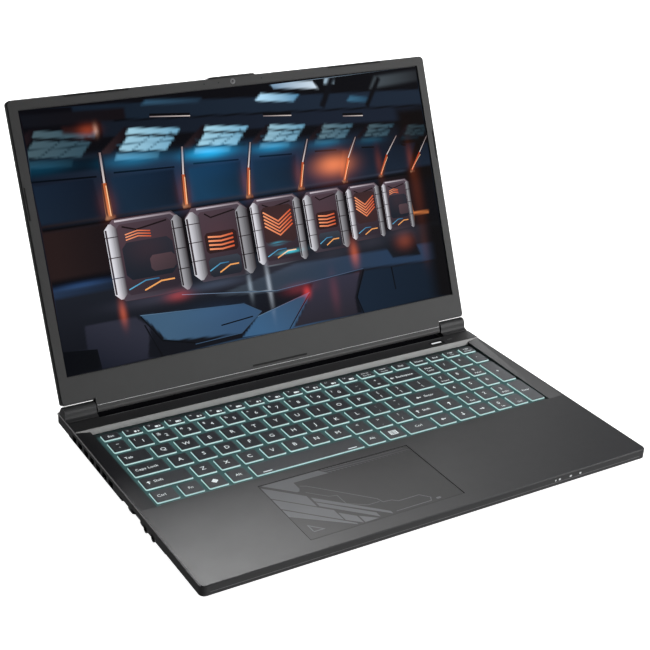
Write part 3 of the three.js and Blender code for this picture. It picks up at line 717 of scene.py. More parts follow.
def lettering(legends, low):
    """Closed, flat letters that stand on that height, for legends measured from the base's origin."""
    bm = bmesh.new()
    made = []
    for text, x, y, size, align in legends:
        curve = bpy.data.curves.new("legend", "FONT")
        curve.body = text
        curve.size = size
        curve.align_x = align
        curve.align_y = "CENTER"
        curve.extrude = PROUD
        curve.resolution_u = 2
        obj = scene_object("legend", curve)
        obj.location = (x, y, low + PROUD)
        made.append(obj)
    bpy.context.view_layer.update()
    graph = bpy.context.evaluated_depsgraph_get()
    for obj in made:
        shown = obj.evaluated_get(graph)
        mesh = shown.to_mesh()
        known = len(bm.verts)
        bm.from_mesh(mesh)
        bm.verts.ensure_lookup_table()
        bmesh.ops.translate(bm, verts=bm.verts[known:], vec=obj.location)
        shown.to_mesh_clear()
    for obj in made:
        curve = obj.data
        bpy.data.objects.remove(obj)
        bpy.data.curves.remove(curve)
    return bm


def arrow(x, y, turn_degrees, long=4.2):
    """An arrow's outline, which points to +X before it is turned."""
    turn = math.radians(turn_degrees)
    half, head, stem = long / 2, 1.5, 0.35
    neck = half - head
    shape = [
        (-half, -stem), (neck, -stem), (neck, -head), (half, 0), (neck, head), (neck, stem), (-half, stem),
    ]
    return [
        (x + px * math.cos(turn) - py * math.sin(turn), y + px * math.sin(turn) + py * math.cos(turn))
        for px, py in shape
    ]


# The keys with one arrow: how far it is left of the middle, its turn and its length.
ARROWS = {
    "key_arrow_up": (0.0, 90, 4.2),
    "key_shift_left": (12.5, 90, 3.6),
    "key_shift_right": (6.8, 90, 3.6),
    "key_enter": (7.5, 180, 4.2),
    "key_backspace": (10.6, 180, 3.4),
}


def key_marks(node, index, x, y):
    """The drawn marks of keys that carry a sign and not a word; x and y are the cap's middle."""
    if node in ARROWS:
        left, turn, long = ARROWS[node]
        return [arrow(x - left, y, turn, long)]
    if node == "keys_arrow_row":
        return [arrow(x, y, (180, -90, 0)[index])]
    if node == "keys_modifiers_left" and index == 2:
        return [[(x - 2.6, y), (x, y - 2.6), (x + 2.6, y), (x, y + 2.6)]]
    if node == "keys_modifiers_right" and index == 1:
        frame_lines = [line([(x - 2.6, y + s), (x + 2.6, y + s)], 0.6) for s in (-2.3, -0.8, 0.8, 2.3)]
        return frame_lines + [line([(x + s, y - 2.6), (x + s, y + 2.6)], 0.6) for s in (-2.9, 2.9)]
    if node == "key_space":
        return [line([(x + s, y - 5.2), (x + s + 7, y - 5.2)], 0.9) for s in (-38, 31)]
    if node == "keys_function_row" and index < 12:
        wide = 1.6 + 0.7 * (index % 3)
        box = rounded(x + 1.6 - wide / 2, x + 1.6 + wide / 2, y - 2.6, y - 0.4, 0.3, 2)
        return [box, line([(x + 3.4, y - 2.5), (x + 4.4, y - 1.5), (x + 3.4, y - 0.5)], 0.5)]
    return []


def key_bank(node, keys):
    """The caps and legends of one body; keys holds (legend, x, y, width, depth) for each cap."""
    caps = bmesh.new()
    words = []
    marks = []
    for index, (legend, x, y, width, depth) in enumerate(keys):
        keycap(caps, x, y, width, depth)
        middle_x, middle_y = x + width / 2, y + depth / 2
        words += [(t, middle_x + dx, middle_y + dy, s, a) for t, dx, dy, s, a in legend if t.strip()]
        marks += key_marks(node, index, middle_x, middle_y)
    body = body_of(node)
    shown = piece(node + "_caps", caps, body, [KEYTOP, KEY_EDGE])
    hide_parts(node)
    low = CAP_TOP - 0.16
    signs = lettering(words, low)
    for mark in marks:
        prism(signs, mark, low, low + 0.14)
    if len(signs.verts):
        bmesh.ops.translate(signs, verts=signs.verts, vec=(0, 0, PROUD))
        piece(node + "_legends", signs, body, [LEGEND])
    else:
        signs.free()


def make_keyboard():
    """All keys, row by row from the front, then the number pad and the keys above it."""
    for row, parts in enumerate(ROWS):
        x = KEYS_LEFT
        y = FIRST_ROW + row * ROW_PITCH
        depth = TOP_ROW_DEPTH if row == len(ROWS) - 1 else KEY_DEPTH
        for node, keys in parts:
            caps = []
            for legend, pitch in keys:
                caps.append((legend, x, y, pitch - KEY_GAP, depth))
                x += pitch
            key_bank(node, caps)

    columns = [NUMPAD_LEFT + i * NUMPAD_PITCH for i in range(4)]
    small, tall = NUMPAD_PITCH - KEY_GAP, KEY_DEPTH + ROW_PITCH
    pad = []
    for row, column, legends in PAD_ROWS:
        y = FIRST_ROW + row * ROW_PITCH
        pad += [(legend, x, y, small, KEY_DEPTH) for legend, x in zip(legends, columns[column:])]
    key_bank("keys_numpad", pad)
    key_bank("key_numpad_enter", [(word("Enter", 3.2), columns[3], FIRST_ROW, small, tall)])
    key_bank("key_numpad_plus", [(word("+", 5.0), columns[3], FIRST_ROW + 2 * ROW_PITCH, small, tall)])
    top = FIRST_ROW + 5 * ROW_PITCH
    key_bank("keys_navigation", [
        (legend, x, top, small, TOP_ROW_DEPTH) for legend, x in zip(NAVIGATION, columns)
    ])


# ---------------- small parts and marks

def make_webcam():
    """The camera's ring and lens, and the microphone holes beside it, which are near-black discs of painted
    shade.
    """
    ring = bmesh.new()
    loft(ring, [
        [(x, y, BEZEL_Z - depth) for x, y in circle(0, CAMERA_Y, r, 28)]
        for r, depth in ((2.3, 0.6), (2.3, 0.05), (1.5, 0.05), (0.9, 0.2))
    ], (0, 0, 1))
    piece("webcam_lens", ring, "lid", [LENS_RING, LENS], LID)
    holes = [circle(x, CAMERA_Y, 0.55, 12) for x in MICROPHONES]
    flat("microphone_holes", holes, BEZEL_Z - 0.3, BEZEL_Z + PROUD, "lid", HOLE_SHADE, LID)


def make_lid_strips():
    """Soft strips that the closed lid rests on, and a painted highlight line along the seam above the hinge
    cover.
    """
    strips = bmesh.new()
    low = BEZEL_Z - 0.2
    for x in (-178.2, 178.2):
        pillow(strips, rounded(x - 0.5, x + 0.5, 140.5, 164.5, 0.4), low, BEZEL_Z + 0.4, 0.2)
    pillow(strips, rounded(-24, 25, 2.6, 4.0, 0.6), low, BEZEL_Z + 0.3, 0.2)
    piece("lid_rest_strips", strips, "lid", [RUBBER], LID)
    # painted highlight: a light line along the seam between the bezel and the hinge cover
    seam_highlight = [(-153.4, 0.42), (153.4, 0.42), (153.4, 0.68), (-153.4, 0.68)]
    flat("hinge_cover_seam_highlight", [seam_highlight], BEZEL_Z - 0.9, BEZEL_Z - 0.12, "lid", EDGE_HIGHLIGHT, LID)


# The front wall is drawn on with Z towards the user, the left wall with X to the rear and Z into the wall.
FRONT_WALL = BASE @ Matrix.Rotation(math.radians(90), 4, "X")
LEFT_WALL = (
    BASE @ Matrix.Translation((-HALF_WIDTH, 0, 0))
    @ Matrix.Rotation(math.radians(90), 4, "Z") @ Matrix.Rotation(math.radians(90), 4, "X")
)


def make_marks():
    """The power button's lamp, the printed marks on the deck with a painted highlight line in front of the
    trough, and what is set in the front and left walls, with a painted highlight line along the front seam.
    """
    lamp = rounded(136.2, 145.8, 208.3, 210.1, 0.5)
    flat("power_lamp", [lamp], DECK_Z - 0.3, DECK_Z - 0.06, "power_button", LAMP_WHITE)
    prints = [rounded(x - 0.4, x + 0.4, 209.6, 210.6, 0.2) for x in (153.6, 155.2, 156.6)]
    # painted highlight: a light line along the deck's edge in front of the trough
    edge = BAR_HALF - 4
    prints.append(rounded(-edge, edge, TROUGH_FRONT - 1.0, TROUGH_FRONT - 0.7, 0.1, 1))
    flat("deck_marks_and_highlight", prints, DECK_Z - SUNK, DECK_Z + PROUD, "base", PRINT_AND_HIGHLIGHT)

    lamps = [(94.8, 1.0), (98.4, 1.8), (108.4, 2.0), (117.2, 1.8)]
    lamps = [rounded(x - wide / 2, x + wide / 2, 12.4, 13.9, 0.4) for x, wide in lamps]
    flat("front_status_lamps", lamps, -SUNK, PROUD, "base", STATUS, FRONT_WALL)
    # painted highlight: a light line along the seam between the covers on the front wall
    seam_highlight = rounded(-174, 174, FRONT_SEAM_Z, FRONT_SEAM_Z + 0.25, 0.1, 1)
    flat("front_seam_highlight", [seam_highlight], -SUNK, PROUD, "base", PRINT_AND_HIGHLIGHT, FRONT_WALL)
    marks = [circle(y, PORT_Z + 0.9, 0.7, 12) for y in JACK_MARKS]
    flat("jack_marks", marks, -PROUD, SUNK, "base", PRINT_AND_HIGHLIGHT, LEFT_WALL)


def make_jack_rings():
    """The rounded lips of the audio jacks."""
    rings = bmesh.new()
    for y in JACKS:
        bore = [(2.0, 1.2), (2.9, 1.2), (2.9, 0.1), (2.6, 0.0), (2.1, 0.0), (2.0, 0.1), (2.0, 1.2)]
        loft(rings, [[(px, py, depth) for px, py in circle(y, PORT_Z, r, 20)] for r, depth in bore])
    piece("jack_rings", rings, "base", [BLACK], LEFT_WALL)


def make_screws():
    """Crosshead screws, sunk in the bottom cover, whose slots are near-black plates of painted shade."""
    screws = bmesh.new()
    for x, y in SCREWS:
        head = ((2.1, 2.2), (2.5, 2.5), (2.5, 3.4))
        loft(screws, [[(px, py, z) for px, py in circle(x, y, r, 20)] for r, z in head])
        for turn in (0, 90):
            slot = rounded(-1.3, 1.3, -0.3, 0.3, 0.2, 2)
            turned = Matrix.Translation((x, y, 0)) @ Matrix.Rotation(math.radians(turn + 20), 4, "Z")
            prism(screws, [(turned @ Vector((px, py, 0)))[:2] for px, py in slot], 2.18, 2.3, material=1)
    bmesh.ops.recalc_face_normals(screws, faces=screws.faces)
    piece("cover_screws", screws, "base", [STEEL, HOLE_SHADE])


# ---------------- touchpad

def make_touchpad():
    """The pad and the pattern that is printed on it."""
    bm = bmesh.new()
    plate = rounded(PAD["left"], PAD["right"], PAD["front"], PAD["rear"], 0.8)
    pillow(bm, plate, PAD["top"] - PAD["thick"], PAD["top"], 0.25)
    pad = piece("touchpad_plate", bm, "touchpad", [PAD_SURFACE])
    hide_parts("touchpad")

    left, front, rear = PAD["left"] + 0.4, PAD["front"] + 1.4, PAD["rear"] - 0.4
    slope = -0.97
    prints = bmesh.new()
    low, high = PAD["top"] - PROUD, PAD["top"] + PROUD

    def bar(top_y, bottom_y, x_from, x_to):
        """A slanted bar between two parallel lines, given by where they meet the pad's left edge."""
        ends = [(x, max(front, bottom_y + slope * (x - left))) for x in (x_from, x_to)]
        tops = [(x, max(front, top_y + slope * (x - left))) for x in (x_to, x_from)]
        prism(prints, ends + [p for p in tops if p not in ends], low, high)

    bar(80, 66, left, -73.2)
    bar(78.8, 73.6, -71.6, -32.5)
    bar(72.4, 67.2, -71.6, -42)
    bar(64.6, 52.2, left, -65.6)
    bar(61.8, 52.2, -64.6, -55.6)
    bar(62.4, 53.4, -54.4, -44)
    bar(50.6, 41.6, left, -60)
    field = [(-76.5, 65), (-74.5, 65), (-72.8, 68), (-72.8, 76.2), (-44.5, 76.2), (-50, rear), (-94.5, rear)]
    prism(prints, field, low, high)
    for i in range(HATCH_LINES):
        x = -47.5 + i * 3.1
        thinning = 0.75 - 0.5 * i / HATCH_LINES
        prism(prints, line([(x, rear), (x + 5.5, 76.4)], thinning), low, high)
    outer = [
        (-71, 70.6), (-67, 68.6), (-32.4, 33.6), (-31, 28.8), (-24.6, 28),
        (-21, 25), (-4.6, 25), (1, 19), (-1, 15.4), (-29, 15.4),
    ]
    inner = [(-71.5, 62), (-60, 51), (-54.4, 49.4), (-54, 38), (-42, 30.2), (-33, 30.2)]
    triangle = [(-90, 19.8), (-82.4, 19.8), (-90, 27.4), (-90, 20.2)]
    prism(prints, line(outer, 0.55), low, high)
    prism(prints, line(inner, 0.45), low, high)
    prism(prints, rounded(3.6, 7.4, 15, 17, 0.9, 2), low, high)
    prism(prints, line(triangle, 0.8), low, high)
    bmesh.ops.recalc_face_normals(prints, faces=prints.faces)
    piece("touchpad_print", prints, "touchpad", [PRINT])


# ---------------- picture on the screen
# It is drawn in millimetres from the screen's lower left corner, in colours of 0 to 255 screen values.

class Picture:
    """Shapes in paint order, and glows on top of them."""

    def __init__(self, width, height):
        self.size = (width, height)
        self.shapes = []
        self.glows = []

    def shape(self, points, colour, other=None, start=(0, 0), end=(0, 1), soft=0.0):
        """A shape whose colour turns into the other from start to end; soft is how wide its edge blurs."""
        w, h = self.size
        if not soft:
            points = [(min(max(u, 0), w), min(max(v, 0), h)) for u, v in points]
        self.shapes.append((points, srgb(*colour), srgb(*(other or colour)), start, end, soft))

    def pane(self, u, v, wide, tall, colour, other=None, run=(0, 1), soft=0.0, lean=0.0, drop=0.0):
        """A sheared rectangle, whose colour changes along that run of u."""
        self.shape(sheared(u, v, wide, tall, lean, drop), colour, other, (run[0], 0), (run[1], 0), soft)

    def stroke(self, points, width, colour, other=None, soft=0.0):
        """A line, whose colour changes from its first point to its last."""
        self.shape(line(points, width), colour, other, points[0], points[-1], soft)

    def glow(self, u, v, reach_u, reach_v, colour, strength=1.0):
        self.glows.append((u, v, reach_u, reach_v, [c * strength for c in srgb(*colour)[:3]]))

    def sheet(self, step):
        """Triangles that keep the outline of every sharp shape, as points and a list of corners."""
        w, h = self.size
        points = [(0, 0), (w, 0), (w, h), (0, h)]
        edges = [(0, 1), (1, 2), (2, 3), (3, 0)]
        for shape, *_, soft in self.shapes:
            if soft:
                continue
            first = len(points)
            points += shape
            edges += [(first + i, first + (i + 1) % len(shape)) for i in range(len(shape))]
        columns, rows = int(w / step), int(h / step)
        for i in range(1, columns):
            points += [((i + 0.5 * (j % 2)) * w / columns, j * h / rows) for j in range(1, rows)]
        found = delaunay_2d_cdt([Vector(p) for p in points], edges, [], 0, 1e-4)
        return np.array([tuple(v) for v in found[0]]), np.array(found[2])

    def colours(self, points, faces):
        """The colour of every triangle's corners."""
        corners = points[faces]
        centres = corners.mean(1)
        result = np.zeros(corners.shape[:2] + (3,))
        for shape, colour, other, start, end, soft in self.shapes:
            if soft:
                cover = np.clip(0.5 + depth_inside(shape, points) / soft, 0, 1)[faces][..., None]
                cover = cover * cover * (3 - 2 * cover)
            else:
                cover = np.where(is_inside(shape, centres), 1.0, 0.0)[:, None, None]
            along = np.subtract(end, start)
            share = np.clip((corners - start) @ along / (along @ along), 0, 1)[..., None]
            paint = np.array(colour[:3]) * (1 - share) + np.array(other[:3]) * share
            result = result * (1 - cover) + paint * cover
        for u, v, reach_u, reach_v, colour in self.glows:
            fall = ((corners[..., 0] - u) / reach_u) ** 2 + ((corners[..., 1] - v) / reach_v) ** 2
            result += np.exp(-fall)[..., None] * np.array(colour)
        return result


def is_inside(shape, points):
    """Whether each point lies inside the shape."""
    inside = np.zeros(len(points), bool)
    for (u0, v0), (u1, v1) in zip(shape, shape[1:] + shape[:1]):
        if v0 != v1:
            crosses = (v0 > points[:, 1]) != (v1 > points[:, 1])
            inside ^= crosses & (points[:, 0] < (u1 - u0) * (points[:, 1] - v0) / (v1 - v0) + u0)
    return inside


def depth_inside(shape, points):
    """How far inside the shape each point lies; negative outside."""
    nearest = np.full(len(points), np.inf)
    for a, b in zip(shape, shape[1:] + shape[:1]):
        side = np.subtract(b, a)
        share = np.clip((points - a) @ side / max(side @ side, 1e-9), 0, 1)
        nearest = np.minimum(nearest, np.hypot(*(points - a - share[:, None] * side).T))
    return np.where(is_inside(shape, points), nearest, -nearest)


def sheared(u, v, wide, tall, lean=0.0, drop=0.0):
    """A rectangle's corners; lean moves its top to the right and drop sinks its right side."""
    return [(u, v), (u + wide, v - drop), (u + wide + lean, v + tall - drop), (u + lean, v + tall)]


def chamfered(u0, u1, v0, v1, cut):
    """A rectangle's corners, cut off at 45 degrees."""
    return [
        (u0 + cut, v0), (u1 - cut, v0), (u1, v0 + cut), (u1, v1 - cut),
        (u1 - cut, v1), (u0 + cut, v1), (u0, v1 - cut), (u0, v0 + cut),
    ]


def dimmed(colour, share):
    """A screen colour with that share of its light."""
    return tuple(c * share ** (1 / GAMMA) for c in colour)


def hall_walls(p):
    """The dark room: side wall, ledges and roof beams."""
    w, h = p.size
    p.pane(0, 0, w, h, (15, 15, 20))
    p.pane(-10, 104, 90, 52, (24, 27, 37), (34, 42, 56), (0, 80), 8)
    p.pane(60, 104, 150, 46, (34, 44, 60), (34, 52, 74), (60, 150), 10)
    p.pane(190, 104, 130, 42, (36, 48, 66), (22, 24, 32), (200, 320), 10)
    p.pane(-10, 70, 62, 36, (42, 31, 31), (30, 24, 27), (10, 50), 5)
    p.pane(290, 60, 44, 46, (34, 26, 28), (20, 16, 20), (290, 335), 6)
    p.pane(0, 108.5, w, 2.2, (36, 30, 32), (44, 52, 66), (0, 170), 1.5)
    p.pane(0, 106, w, 2.0, (10, 10, 13), soft=1.5)
    p.pane(0, 146, 56, 9, (13, 14, 21), soft=4, drop=1)
    p.pane(60, 168, 290, 14, (24, 30, 40), (29, 36, 49), (80, 250), 2.5, drop=19)
    p.pane(40, 181, 310, 12, (26, 36, 48), (32, 42, 56), (80, 250), 2.0, drop=19)
    p.pane(-5, 181.5, 85, 9, (22, 24, 30), (24, 20, 24), (0, 70), 3, drop=3)
    p.pane(70, 178.2, 275, 1.4, (12, 14, 20), soft=1.2, drop=18)
    p.pane(318, 100, 40, 60, (16, 11, 12), soft=10)


def hall_window(p):
    """The warm window right of the middle."""
    p.pane(231, 112, 32, 21, (112, 62, 52), (76, 44, 44), (234, 268), 3, lean=4)
    p.glow(250, 123, 15, 7.5, (226, 122, 70))
    p.glow(246, 117, 20, 10, (90, 44, 46), 0.6)
    p.glow(326, 92, 5, 30, (96, 44, 26), 0.4)
    p.stroke([(316, 73.5), (334, 72.5)], 1.6, (214, 124, 70), soft=1.6)


def hall_skylight(p, u, v, wide, size, light, blue):
    """Bright panes with thin bars, and the blue light that they throw on the wall below."""
    bright = (172 * light, 220 * light, 240 * light)
    pale = (104 * light, 168 * light, 204 * light)
    bar = dimmed(pale, 0.3)
    drop = 4.5 * size
    glass = sheared(u + 1, v, 0.60 * wide, 9.5 * size, 9 * size, drop)
    p.shape(glass, bright, pale, (u, v + 9), (u + wide, v), 1.4)
    run = (u + 0.2 * wide, u + wide)
    p.pane(u + 9 * size, v + 11.5 * size, 0.66 * wide, 4 * size, bright, pale, run, 1.4, 3, drop)
    run = (u, u + 0.7 * wide)
    low, lower = dimmed(pale, 0.75), dimmed(pale, 0.2)
    p.pane(u - 3, v - 6.5 * size, 0.55 * wide, 4.5 * size, low, lower, run, 2.2, 2, drop * 0.6)
    for share in (0.3, 0.62):
        ends = [(u + share * wide * 0.6, v - drop * share), (u + (share + 0.3) * wide * 0.8, v + 9 * size)]
        p.stroke(ends, 0.7, bar, soft=1.4)
    p.stroke([(u, v + 4.5 * size), (u + 0.75 * wide, v + 2.5 * size)], 0.7, bar, soft=1.4)
    p.pane(u - 1, v - 1.6 * size, 0.8 * wide, 1.4 * size, (24, 30, 38), soft=1.2, drop=drop)
    p.glow(u + 0.18 * wide, v - 8 * size, 0.34 * wide, 4.5 * size, (16, 140, 190), 1.1 * blue)
    p.glow(u + 0.3 * wide, v - 20 * size, 0.5 * wide, 12 * size, (8, 44, 74), 0.45 * blue)


def hall_post(p, foot, lean, top, size, warm):
    """A lamp post: a thin steel pipe on a copper sleeve with a lit edge."""
    joint = (foot + lean * 0.42, POST_FOOT + (top - POST_FOOT) * 0.54)
    head = (foot + lean, top)
    p.stroke([joint, head], 4.2 * size, (30, 25, 29))
    p.stroke([joint, head], 1.5 * size, (216, 204, 202), (134, 116, 116))
    sleeve = line([(foot, POST_FOOT), joint], 5.2 * size)
    p.shape(sleeve, (70, 46, 40), (40, 28, 28), (foot - 2, 0), (foot + 3, 0))
    copper = line([(foot + 0.5 * size, POST_FOOT + 1), joint], 2.6 * size)
    warm_low, warm_high = (222, 134 * warm, 84 * warm), (176, 92 * warm, 52 * warm)
    p.shape(copper, warm_low, warm_high, (foot, POST_FOOT), joint)
    lit_edge = [(foot + 1.2 * size, POST_FOOT + 2), (joint[0] + 0.8 * size, joint[1] - 2)]
    p.stroke(lit_edge, 0.7 * size, (255, 206, 160))
    run = (foot - 3, foot + 4)
    p.pane(foot - 3 * size, POST_FOOT - 0.4, 7.5 * size, 2.2 * size, (168, 120, 92), (110, 70, 56), run, 0.9)
    p.glow(foot, POST_FOOT + 10, 6 * size, 11, (96, 42, 22), 0.7)


def hall_bays(p):
    """Bays between lamp posts, which crowd together to the right."""
    shrink = 0.87
    feet = [54 + 62 * (1 - shrink ** i) / (1 - shrink) for i in range(-1, 8)]
    lights = (0.42, 0.92, 0.95, 0.86, 0.56, 0.42, 0.28, 0.2)
    blues = (0.1, 0.35, 1.3, 0.6, 0.25, 0.1, 0, 0)
    for i, (foot, following, light, blue) in enumerate(zip(feet, feet[1:], lights, blues), start=-1):
        size = shrink ** i
        lean, top, gap = 4.0 * i, 157 - 3.6 * i, following - foot
        wall = sheared(foot + 6 * size, 111, gap - 11 * size, 27 - 1.4 * i, lean * 0.5)
        near, far = (28, 38 + 18 * blue, 52 + 28 * blue), (20, 25 + 6 * blue, 36 + 6 * blue)
        p.shape(wall, near, far, (foot + 20, 112), (following, 136), 2.0)
        rail = [(foot + 9 * size + lean, top - 16 * size), (following - 4 * size, top - 18 * size)]
        p.stroke(rail, 1.3, (9, 10, 14))
        beam = sheared(foot + lean + 1, top - 1, 8 * size, 17 * size, 22 * size, 1)
        p.shape(beam, (54, 40, 42), (24, 19, 24), (foot, 0), (foot + 24, 0), 1.5)
        hall_skylight(p, foot + lean + 0.24 * gap, top - 0.5, gap, size, light, blue)
    for i, foot in enumerate(feet[1:8]):
        hall_post(p, foot, 4.0 * i + 1, 157 - 3.6 * i, shrink ** i, 1.0 - 0.05 * i)


def hall_roof(p):
    """Bright panes high on the right and thin lamps along the beams."""
    p.pane(189, 181, 34, 5, (176, 220, 246), (70, 124, 160), (195, 230), 1.8, 6, 4)
    p.pane(207, 189, 40, 6, (120, 150, 176), (206, 222, 236), (207, 245), 1.8, -4, 4)
    p.pane(253, 188, 9, 6, (150, 172, 188), soft=1.6, lean=2, drop=1)
    p.pane(296, 180, 52, 9, (72, 80, 86), (40, 42, 46), (300, 344), 4, 6, -2)
    p.pane(272, 172, 20, 4, (62, 106, 134), (34, 56, 76), (272, 296), 2.4, 4, 3)
    p.pane(94, 188, 46, 3, (52, 84, 108), (34, 50, 66), (94, 144), 3, 4, 3)
    p.stroke([(262, 193.6), (252, 176), (248, 170)], 5.0, (18, 19, 25), soft=2)
    p.stroke([(306, 188), (290, 166)], 4.0, (16, 16, 21), soft=2)
    for u, v, reach in ((99, 178.6, 33), (194, 168.6, 25), (266, 160.6, 19)):
        p.stroke([(u, v + 1), (u + reach, v + 1 - reach * 0.09)], 2.6, (12, 12, 16))
        lamp = line([(u, v), (u + reach, v - reach * 0.09)], 0.8)
        p.shape(lamp, (124, 112, 114), (206, 194, 190), (u, v), (u + reach, v))
    p.stroke([(30, 176), (50, 174), (58, 179)], 5, (44, 26, 26), soft=4)
    p.glow(49, 174, 7, 4, (150, 62, 38), 0.7)
    p.glow(55, 173.5, 1.6, 3.6, (200, 160, 140), 0.6)


def hall_floor(p):
    """A dark, wet floor of large plates with thin joints."""
    near_plate = [(64, 33.5), (150, 27), (164, 18.5), (144, 5), (120, 7), (82, 11), (72, 25)]
    far_plate = [(128, 37), (200, 50), (350, 46), (350, 31), (262, 36), (180, 31)]
    right_plate = [(186, -4), (250, -4), (250, 14), (258, 34), (214, 34), (207, 20)]
    corner_plate = [(262, 34), (350, 30), (350, -4), (256, -4), (252, 14)]
    for outline, colour, other, start, end, soft in (
        (sheared(-10, 0, 370, 63), (32, 35, 43), (20, 22, 29), (0, 60), (0, 10), 3),
        (sheared(-8, 57, 60, 7), (38, 52, 74), (30, 38, 52), (0, 0), (50, 0), 3),
        ([(18, 0), (64, 0), (70, 24), (60, 33), (20, 34)],
         (48, 49, 61), (28, 31, 42), (45, 30), (30, 0), 1.5),
        ([(-8, -8), (27, -8), (26, 15), (-8, 19)], (7, 11, 18), (9, 12, 18), (0, 0), (20, 0), 1.5),
        (far_plate, (56, 64, 74), (42, 60, 84), (150, 0), (290, 0), 2),
        (near_plate, (64, 92, 118), (56, 82, 112), (90, 30), (140, 8), 1),
        ([(160, 15), (209, 25.5), (205, 18.5), (186, -4), (138, -4)],
         (58, 80, 106), (60, 94, 128), (200, 22), (165, 0), 1),
        (right_plate, (44, 42, 50), (54, 52, 66), (220, 0), (220, 33), 1.5),
        (corner_plate, (28, 40, 55), (22, 33, 46), (262, 30), (330, 6), 1.5),
        ([(282, 58), (314, 58), (320, 38), (292, 40)], (30, 34, 42), (20, 24, 30), (280, 58), (312, 40), 2),
    ):
        p.shape(outline, colour, other, start, end, soft)
    p.pane(328, -10, 40, 76, (15, 14, 17), soft=18)
    for joint in (
        [(64, 33.5), (150, 27), (164, 18.5), (144, 5), (104, 4)],
        [(160, 15), (209, 25.5)], [(100, 43), (180, 32), (262, 36)],
    ):
        p.stroke(joint, 0.45, (96, 124, 150), (62, 86, 112))
    for joint in (
        [(64, 33), (78, 12), (104, 5)], [(66, 26), (76, 0)], [(262, 35), (252, 14), (256, 0)],
        [(289, 33), (290, 14)], [(128, 14), (156, 16)], [(209, 25), (186, 0)], [(27, 0), (26, 15), (0, 18)],
    ):
        p.stroke(joint, 1.0, (10, 13, 19))
    for u, v, reach, tall, colour, strength in (
        (51, 38, 2.5, 8, (190, 86, 60), 0.7),
        (97, 43, 9, 3.5, (150, 44, 36), 0.8),
        (207, 26, 3, 4, (210, 60, 60), 0.8),
        (200, 30, 12, 4, (120, 44, 50), 0.6),
        (256, 50, 3.5, 9, (190, 86, 50), 0.7),
        (306, 52, 8, 6, (150, 70, 46), 0.5),
        (158, 40, 1.6, 9, (170, 186, 200), 0.5),
        (174.5, 38, 1.6, 16, (190, 200, 212), 0.6),
        (84, 44, 36, 4, (44, 44, 56), 0.5),
        (128, 46, 24, 3, (60, 74, 92), 0.5),
        (232, 22, 4, 14, (90, 40, 46), 0.5),
        (325, 44, 4, 14, (80, 44, 30), 0.3),
        (24, 64, 20, 2.0, (46, 76, 120), 0.6),
        (120, 26, 26, 7, (24, 44, 66), 0.4),
        (198, 60.5, 9, 1.0, (60, 206, 226), 1.0),
        (188, 68.5, 5, 0.9, (50, 170, 200), 0.9),
    ):
        p.glow(u, v, reach, tall, colour, strength)


def column(p, u, v, wide, tall, light, cut):
    """An upright steel column with a bright flank on its left."""
    dark, bright = (62 * light, 54 * light, 60 * light), (232 * light, 232 * light, 240 * light)
    p.shape(chamfered(u, u + wide, v, v + tall, cut), bright, dark, (u + wide * 0.25, 0), (u + wide, 0))
    p.pane(u + wide * 0.05, v + cut, wide * 0.14, tall - cut * 2, dark)
    p.pane(u + wide * 0.62, v + cut, wide * 0.1, tall - cut * 2, dimmed(bright, 0.45))
    for share in (0.28, 0.55, 0.82):
        p.pane(u, v + tall * share, wide, tall * 0.012, dark)


def ribs(p, u, v, wide, tall, count, bend):
    """Glowing ribs; bend is how far their middle sinks."""
    pitch = tall / count
    for i in range(count):
        low = v + i * pitch
        path = [(u, low + bend), (u + wide * 0.5, low), (u + wide, low + bend * 0.9)]
        p.stroke(path, pitch * 0.42, (250, 158, 112), (206, 86, 54))


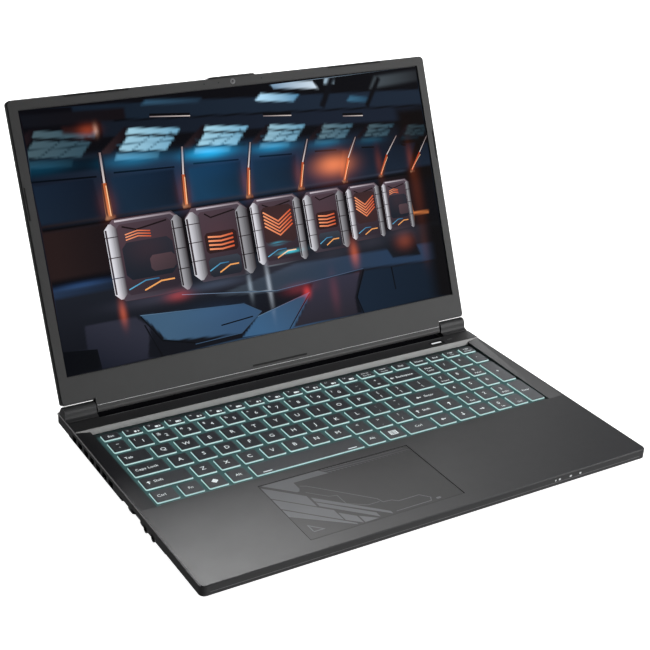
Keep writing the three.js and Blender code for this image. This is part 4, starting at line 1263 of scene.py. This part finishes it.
def machine(p, u, v, wide, tall, kind):
    """A metal block between two columns: 0 has a wide opening, 1 a rib stack and 2 a bent rib field."""
    def up(share):
        return v + tall * share

    rim = wide * (0.16, 0.22, 0.17)[kind]
    light = (0.95, 0.88, 0.96)[kind]
    right = u + wide
    body = chamfered(u, right, v, up(1), wide * 0.12)
    p.shape(body, (94, 82, 92), (36, 33, 40), (u, up(1)), (right, v))
    lip = [(u + rim * 0.9, up(0.975)), (u + wide * 0.86, up(0.975)), (u + wide * 0.97, up(0.89))]
    p.shape(line(lip, tall * 0.022), (214, 206, 214), (104, 88, 96), (u, 0), (right, 0))
    face = chamfered(u + rim * 0.8, right - rim * 0.8, up(0.06), up(0.93), wide * 0.07)
    p.shape(face, (80, 64, 72), (46, 40, 48), (u, up(1)), (u + wide * 0.7, v))
    groove = [(u + rim * 1.4, up(0.9)), (u + wide * 0.4, up(0.84)), (u + wide * 0.8, up(0.9))]
    p.stroke(groove, tall * 0.02, (30, 24, 27))
    column(p, u, up(0.03), rim, tall * 0.92, light, rim * 0.4)
    column(p, right - rim * 0.9, v, rim * 0.9, tall * 0.94, light * 0.72, rim * 0.36)

    left, room = u + rim * 1.15, wide - rim * 2.2
    end = left + room
    if kind == 0:
        opening = chamfered(left, end, up(0.24), up(0.70), room * 0.1)
        p.shape(opening, (28, 32, 40), (44, 50, 60), (0, v), (0, up(1)))
        ribs(p, left + room * 0.1, up(0.76), room * 0.5, tall * 0.1, 3, -tall * 0.03)
        block = chamfered(left + room * 0.5, end, up(0.30), up(0.5), room * 0.06)
        p.shape(block, (104, 84, 92), (42, 36, 40), (left, up(1)), (end, v))
    elif kind == 1:
        p.shape(chamfered(left, end, up(0.36), up(0.64), room * 0.08), (44, 32, 34))
        ribs(p, left + room * 0.1, up(0.40), room * 0.78, tall * 0.22, 4, tall * 0.02)
        drawer = chamfered(left, end, up(0.04), up(0.30), room * 0.08)
        p.shape(drawer, (58, 64, 74), (26, 28, 36), (0, up(0.3)), (0, v))
    else:
        p.shape(chamfered(left, end, up(0.30), up(0.86), room * 0.1), (58, 42, 44))
        ribs(p, left + room * 0.06, up(0.42), room * 0.88, tall * 0.26, 5, tall * 0.16)
    cable = [(left, up(0.13)), (left + room * 0.35, up(0.21)), (left + room * 0.62, up(0.21))]
    p.stroke(cable, tall * 0.014, (96, 176, 214), (50, 100, 140))
    p.stroke([(a + room * 0.3, b - tall * 0.04) for a, b in cable], tall * 0.018, (244, 166, 96))
    p.glow(u + wide * 0.5, up(0.6), wide * 0.3, tall * 0.2, (70, 32, 26), 0.3)
    p.glow(u + wide * 0.5, v - 3, wide * 0.5, 5, (52, 50, 58), 0.5)


def hall_machines(p):
    """A row of blocks that get smaller to the right."""
    left, width, low, high = 47.5, 63.0, 46.0, 107.0
    for kind in (0, 1, 2, 1, 2, 0):
        machine(p, left, low, width, high - low, kind)
        left += width + 2.6
        width *= 0.845
        low += 3.2
        high -= 0.8


def make_picture():
    """A thin glowing sheet on the screen panel, whose corners carry the picture's colours."""
    p = Picture(SCREEN_W, SCREEN_H)
    for draw in (hall_walls, hall_window, hall_bays, hall_roof, hall_floor, hall_machines):
        draw(p)
    points, faces = p.sheet(PICTURE_GRAIN)
    colours = p.colours(points, faces)

    bm = bmesh.new()
    front = [bm.verts.new((u - SCREEN_W / 2, v + SCREEN_BOTTOM, SCREEN_Z + 0.12)) for u, v in points]
    paint = bm.loops.layers.float_color.new("picture")
    for corners, shades in zip(faces, colours):
        face = bm.faces.new([front[i] for i in corners])
        for loop, rgb in zip(face.loops, shades):
            loop[paint] = (*rgb, 1.0)
    border = [e for e in bm.edges if e.is_boundary]
    made = bmesh.ops.extrude_edge_only(bm, edges=border)["geom"]
    back = [v for v in made if isinstance(v, bmesh.types.BMVert)]
    for vert in back:
        vert.co.z = SCREEN_Z + 0.02
    bmesh.ops.holes_fill(bm, edges=[e for e in bm.edges if e.is_boundary], sides=0)
    bmesh.ops.recalc_face_normals(bm, faces=bm.faces)

    shader = Shader("screen_picture", (0.001, 0.001, 0.001, 1), 0.35, specular=0.02)
    paint = new_node(shader.tree, "VertexColor", layer_name="picture")
    shader.glow(paint.outputs["Color"], 1.0)
    piece("screen_picture", bm, "lid", [shader.material], LID)


# ---------------- run

make_camera()
make_stage()
make_lights()
make_shells()
make_keyboard()
make_webcam()
make_lid_strips()
make_marks()
make_jack_rings()
make_screws()
make_touchpad()
make_picture()
